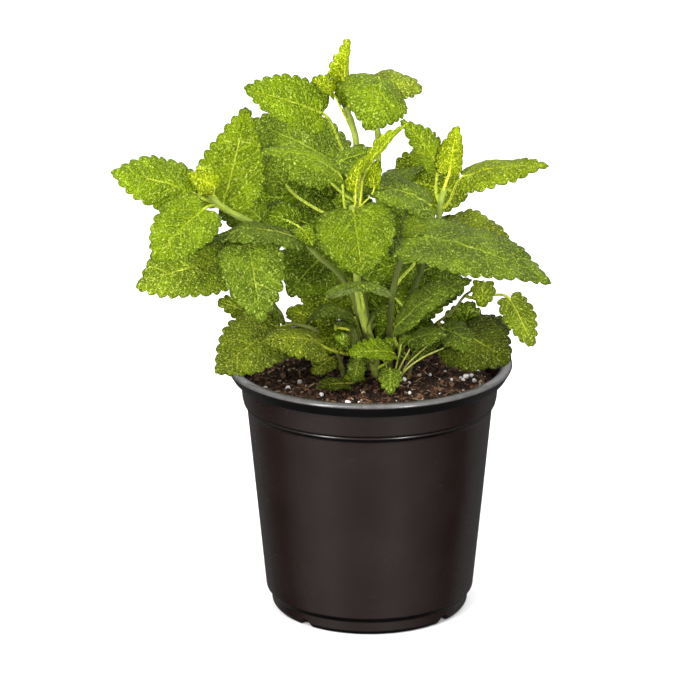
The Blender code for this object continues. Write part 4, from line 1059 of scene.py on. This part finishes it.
    # stalk, carried on as the rib under the blade
    root, along_stem, radius = stem_point(stem, share)
    out = base - root
    out = out - along_stem * out.dot(along_stem)
    out = unit(out) if np.linalg.norm(out) > 0.3 else unit(face - along_stem * face.dot(along_stem))
    begin = root + out * (radius * 0.45)
    reach = np.linalg.norm(base - begin)
    leave = unit(out * 0.8 + along_stem * 0.55)
    h0 = unit(chord + up * (arch * 4.0))
    path = [bezier(begin, begin + leave * reach * 0.35, base - h0 * reach * 0.35, base, t)
            for t in np.linspace(0, 1, 15)]
    stalk_r = min(1.0, 0.055 * width + 0.12) * 0.72
    radii = list(np.linspace(stalk_r * 1.35, stalk_r, 5)) + [stalk_r] * 10
    for t in np.linspace(0.02, 0.86, 24):
        p = base + chord * t + up * (arch * 4.0 * t * (1.0 - t))
        h = unit(chord + up * (arch * 4.0 * (1.0 - 2.0 * t)))
        n = np.cross(unit(np.cross(h, up)), h)
        path.append(p - n * (0.20 * scale + stalk_r * 0.45 * (1 - t)))
        radii.append(stalk_r * (1 - t) ** 0.9 * 0.72 + 0.10)
    path = np.array(path)
    ring, ring_faces = capped_tube(path, np.array(radii), 12, len(verts), squash=0.85, hint=unit(np.cross(h0, up)))
    verts = np.concatenate([verts, np.array(ring)])
    faces += ring_faces
    extra = len(ring)
    for key, value in (("phase", 40.5), ("gap", gap), ("middle", 5.0), ("reach", 0.5), ("share", 0.5), ("edge", 5.0),
                       ("quilt", 0.6), ("under", 0.0), ("stalk", 1.0)):
        attrs[key] = np.concatenate([attrs[key], np.full(extra, value)])
    steps = np.concatenate([[0.0], np.cumsum(np.linalg.norm(np.diff(path, axis=0), axis=1))])
    ring_uv = np.array([(steps[i], 4.0 * j / 12) for i in range(len(path)) for j in range(12)])
    mm = np.concatenate([mm, ring_uv + np.array([seed, 200.0])])
    bright, yellow = LOOK.get(name, (1.0, 0.0))
    attrs["shade"] = np.full(len(verts), bright * rng.uniform(0.96, 1.04))
    attrs["age"] = np.full(len(verts), yellow)
    return verts, faces, attrs, {"LeafMM": mm}


def make_leaf(name, spec, rng, nodes=()):
    verts, faces, attrs, uvs = leaf_mesh(name, spec, rng)
    tone = spec[-1]
    ob = mesh_object(name + "_blade", verts, faces, MATERIALS["leaf_" + tone], attrs, uvs)
    fix_normals(ob)
    return finish_piece(ob, "leaf_" + tone, *nodes)


# ---- room, light and camera ----------------------------------------------
def make_floor():
    me = bpy.data.meshes.new("floor")
    n = 64
    verts = [(0.0, 0.0, -0.0002)] + [(4.0 * math.cos(math.tau * i / n), 4.0 * math.sin(math.tau * i / n), -0.0002)
                                     for i in range(n)]
    me.from_pydata(verts, [], [(0, 1 + i, 1 + (i + 1) % n) for i in range(n)])
    t = Tree("floor_white")
    me.materials.append(t.finish((0.90, 0.90, 0.90), 0.85, Specular_IOR_Level=0.1))
    floor = bpy.data.objects.new("floor", me)
    bpy.context.scene.collection.objects.link(floor)
    floor.visible_glossy = False


def make_world():
    world = bpy.data.worlds.new("studio")
    bpy.context.scene.world = world
    world.use_nodes = True
    nodes, links = world.node_tree.nodes, world.node_tree.links
    back = nodes["Background"]
    coord = nodes.new("ShaderNodeTexCoord")
    split = nodes.new("ShaderNodeSeparateXYZ")
    links.new(coord.outputs["Generated"], split.inputs[0])
    front = nodes.new("ShaderNodeMapRange")
    front.interpolation_type = "SMOOTHSTEP"
    links.new(split.outputs["Y"], front.inputs["Value"])
    front.inputs["From Min"].default_value = 0.0
    front.inputs["From Max"].default_value = -0.9
    front.inputs["To Min"].default_value = 0.03
    front.inputs["To Max"].default_value = 0.26
    above = nodes.new("ShaderNodeMapRange")
    above.interpolation_type = "SMOOTHSTEP"
    links.new(split.outputs["Z"], above.inputs["Value"])
    above.inputs["From Min"].default_value = 0.12
    above.inputs["From Max"].default_value = 0.62
    above.inputs["To Min"].default_value = 0.0
    above.inputs["To Max"].default_value = 0.85
    add = nodes.new("ShaderNodeMath")
    add.operation = "ADD"
    links.new(front.outputs["Result"], add.inputs[0])
    links.new(above.outputs["Result"], add.inputs[1])
    behind = nodes.new("ShaderNodeMapRange")
    behind.interpolation_type = "SMOOTHSTEP"
    links.new(split.outputs["Y"], behind.inputs["Value"])
    behind.inputs["From Min"].default_value = 0.35
    behind.inputs["From Max"].default_value = 0.85
    lifted = nodes.new("ShaderNodeMapRange")
    lifted.interpolation_type = "SMOOTHSTEP"
    links.new(split.outputs["Z"], lifted.inputs["Value"])
    lifted.inputs["From Min"].default_value = 0.04
    lifted.inputs["From Max"].default_value = 0.30
    wall = nodes.new("ShaderNodeMath")
    wall.operation = "MULTIPLY"
    links.new(behind.outputs["Result"], wall.inputs[0])
    links.new(lifted.outputs["Result"], wall.inputs[1])
    total = nodes.new("ShaderNodeMath")
    total.operation = "MULTIPLY_ADD"
    total.inputs[1].default_value = 0.9
    links.new(wall.outputs[0], total.inputs[0])
    links.new(add.outputs[0], total.inputs[2])
    seen = nodes.new("ShaderNodeLightPath")
    choose = nodes.new("ShaderNodeMix")
    choose.data_type = "FLOAT"
    links.new(seen.outputs["Is Camera Ray"], choose.inputs[0])
    # what a polished side facing down and outwards mirrors, by bearing
    turn = nodes.new("ShaderNodeMath")
    turn.operation = "MULTIPLY"
    turn.inputs[1].default_value = -1.0
    links.new(split.outputs["Y"], turn.inputs[0])
    bearing = nodes.new("ShaderNodeMath")
    bearing.operation = "ARCTAN2"
    links.new(split.outputs["X"], bearing.inputs[0])
    links.new(turn.outputs[0], bearing.inputs[1])
    share = nodes.new("ShaderNodeMath")
    share.operation = "MULTIPLY_ADD"
    share.inputs[1].default_value = 1.0 / math.tau
    share.inputs[2].default_value = 0.5
    links.new(bearing.outputs[0], share.inputs[0])
    bands = nodes.new("ShaderNodeValToRGB")
    stops = [(-180, 0.084), (-144, 0.145), (-124, 0.078), (-106, 0), (-94, 0.033), (-80, 0.223), (-44, 0.547), (-16, 0.312), (0, 0.29),
             (27, 0.502), (48, 0.29), (66, 0.19), (80, 0.045), (92, 0), (106, 0.028), (122, 0.19), (150, 0.123), (180, 0.084)]
    ramp = bands.color_ramp
    ramp.elements[0].position = 0.0
    ramp.elements[1].position = 1.0
    for i, (degrees, level) in enumerate(stops):
        place = 0.5 + degrees / 360.0
        knob = ramp.elements[0] if i == 0 else (ramp.elements[-1] if i == len(stops) - 1 else ramp.elements.new(place))
        knob.color = (level, level, level, 1.0)
    links.new(share.outputs[0], bands.inputs[0])
    low = nodes.new("ShaderNodeMapRange")
    low.interpolation_type = "SMOOTHSTEP"
    links.new(split.outputs["Z"], low.inputs["Value"])
    low.inputs["From Min"].default_value = 0.02
    low.inputs["From Max"].default_value = -0.16
    deep = nodes.new("ShaderNodeMapRange")
    deep.interpolation_type = "SMOOTHSTEP"
    links.new(split.outputs["Z"], deep.inputs["Value"])
    deep.inputs["From Min"].default_value = -0.92
    deep.inputs["From Max"].default_value = -0.62
    faded = nodes.new("ShaderNodeMath")
    faded.operation = "MULTIPLY"
    links.new(bands.outputs[0], faded.inputs[0])
    links.new(deep.outputs["Result"], faded.inputs[1])
    both = nodes.new("ShaderNodeMix")
    both.data_type = "FLOAT"
    links.new(low.outputs["Result"], both.inputs[0])
    links.new(total.outputs[0], both.inputs[2])
    links.new(faded.outputs[0], both.inputs[3])
    links.new(both.outputs[0], choose.inputs[2])
    choose.inputs[3].default_value = 1.0
    links.new(choose.outputs[0], back.inputs["Strength"])
    back.inputs["Color"].default_value = (1.0, 1.0, 1.0, 1.0)


def area(name, place, size, power, colour=(1.0, 1.0, 1.0), aim=(0.0, 0.0, 0.14)):
    data = bpy.data.lights.new(name, "AREA")
    data.shape = "RECTANGLE"
    data.size, data.size_y = size
    data.energy = power
    data.color = colour
    ob = bpy.data.objects.new(name, data)
    bpy.context.scene.collection.objects.link(ob)
    ob.location = place
    ob.rotation_mode = "QUATERNION"
    ob.rotation_quaternion = (Vector(aim) - Vector(place)).to_track_quat("-Z", "Y")
    return ob


def sun(name, towards, strength, spread):
    data = bpy.data.lights.new(name, "SUN")
    data.energy = strength
    data.angle = math.radians(spread)
    ob = bpy.data.objects.new(name, data)
    bpy.context.scene.collection.objects.link(ob)
    ob.rotation_mode = "QUATERNION"
    ob.rotation_quaternion = Vector(towards).to_track_quat("Z", "Y")
    return ob


def make_camera():
    data = bpy.data.cameras.new("camera")
    data.sensor_width = 36.0
    data.lens = 3600.0 / 679.0 * 36.0
    data.shift_x = (679 / 2 - 369.6) / 679
    data.shift_y = (368.3 - 673 / 2) / 679
    data.clip_start, data.clip_end = 0.05, 20.0
    cam = bpy.data.objects.new("camera", data)
    bpy.context.scene.collection.objects.link(cam)
    elevation = math.radians(18.1)
    target = Vector((0.0, 0.0, 0.110))
    back = Vector((0.0, -math.cos(elevation), math.sin(elevation)))
    cam.location = target + back * 1.6
    cam.rotation_mode = "QUATERNION"
    cam.rotation_quaternion = (-back).to_track_quat("-Z", "Y")
    bpy.context.scene.camera = cam


def main():
    scene = bpy.context.scene
    scene.view_settings.view_transform = "Standard"
    scene.view_settings.look = "None"
    make_pot()
    make_soil(np.random.default_rng(11))
    for name, (radius, points) in STEMS.items():
        make_stem(name, radius, points)
    for name, (radius, points) in SPRIGS.items():
        make_stem(name, radius, points)
    for i, (name, spec) in enumerate(LEAVES.items()):
        make_leaf(name, spec, np.random.default_rng(100 + i), (name,))
    for i, (name, spec) in enumerate(SMALL_LEAVES.items()):
        make_leaf(name, spec, np.random.default_rng(300 + i))
    make_floor()
    make_world()
    sun("key", (-0.45, -0.80, 0.95), 1.60, 24.0)
    sun("crown", (0.35, -0.10, 1.0), 1.15, 40.0)
    area("strip_left", (-0.95, -1.20, 0.55), (0.22, 1.2), 26.0)
    area("strip_right", (0.80, -1.40, 0.55), (0.22, 1.2), 24.0)
    make_camera()


main()
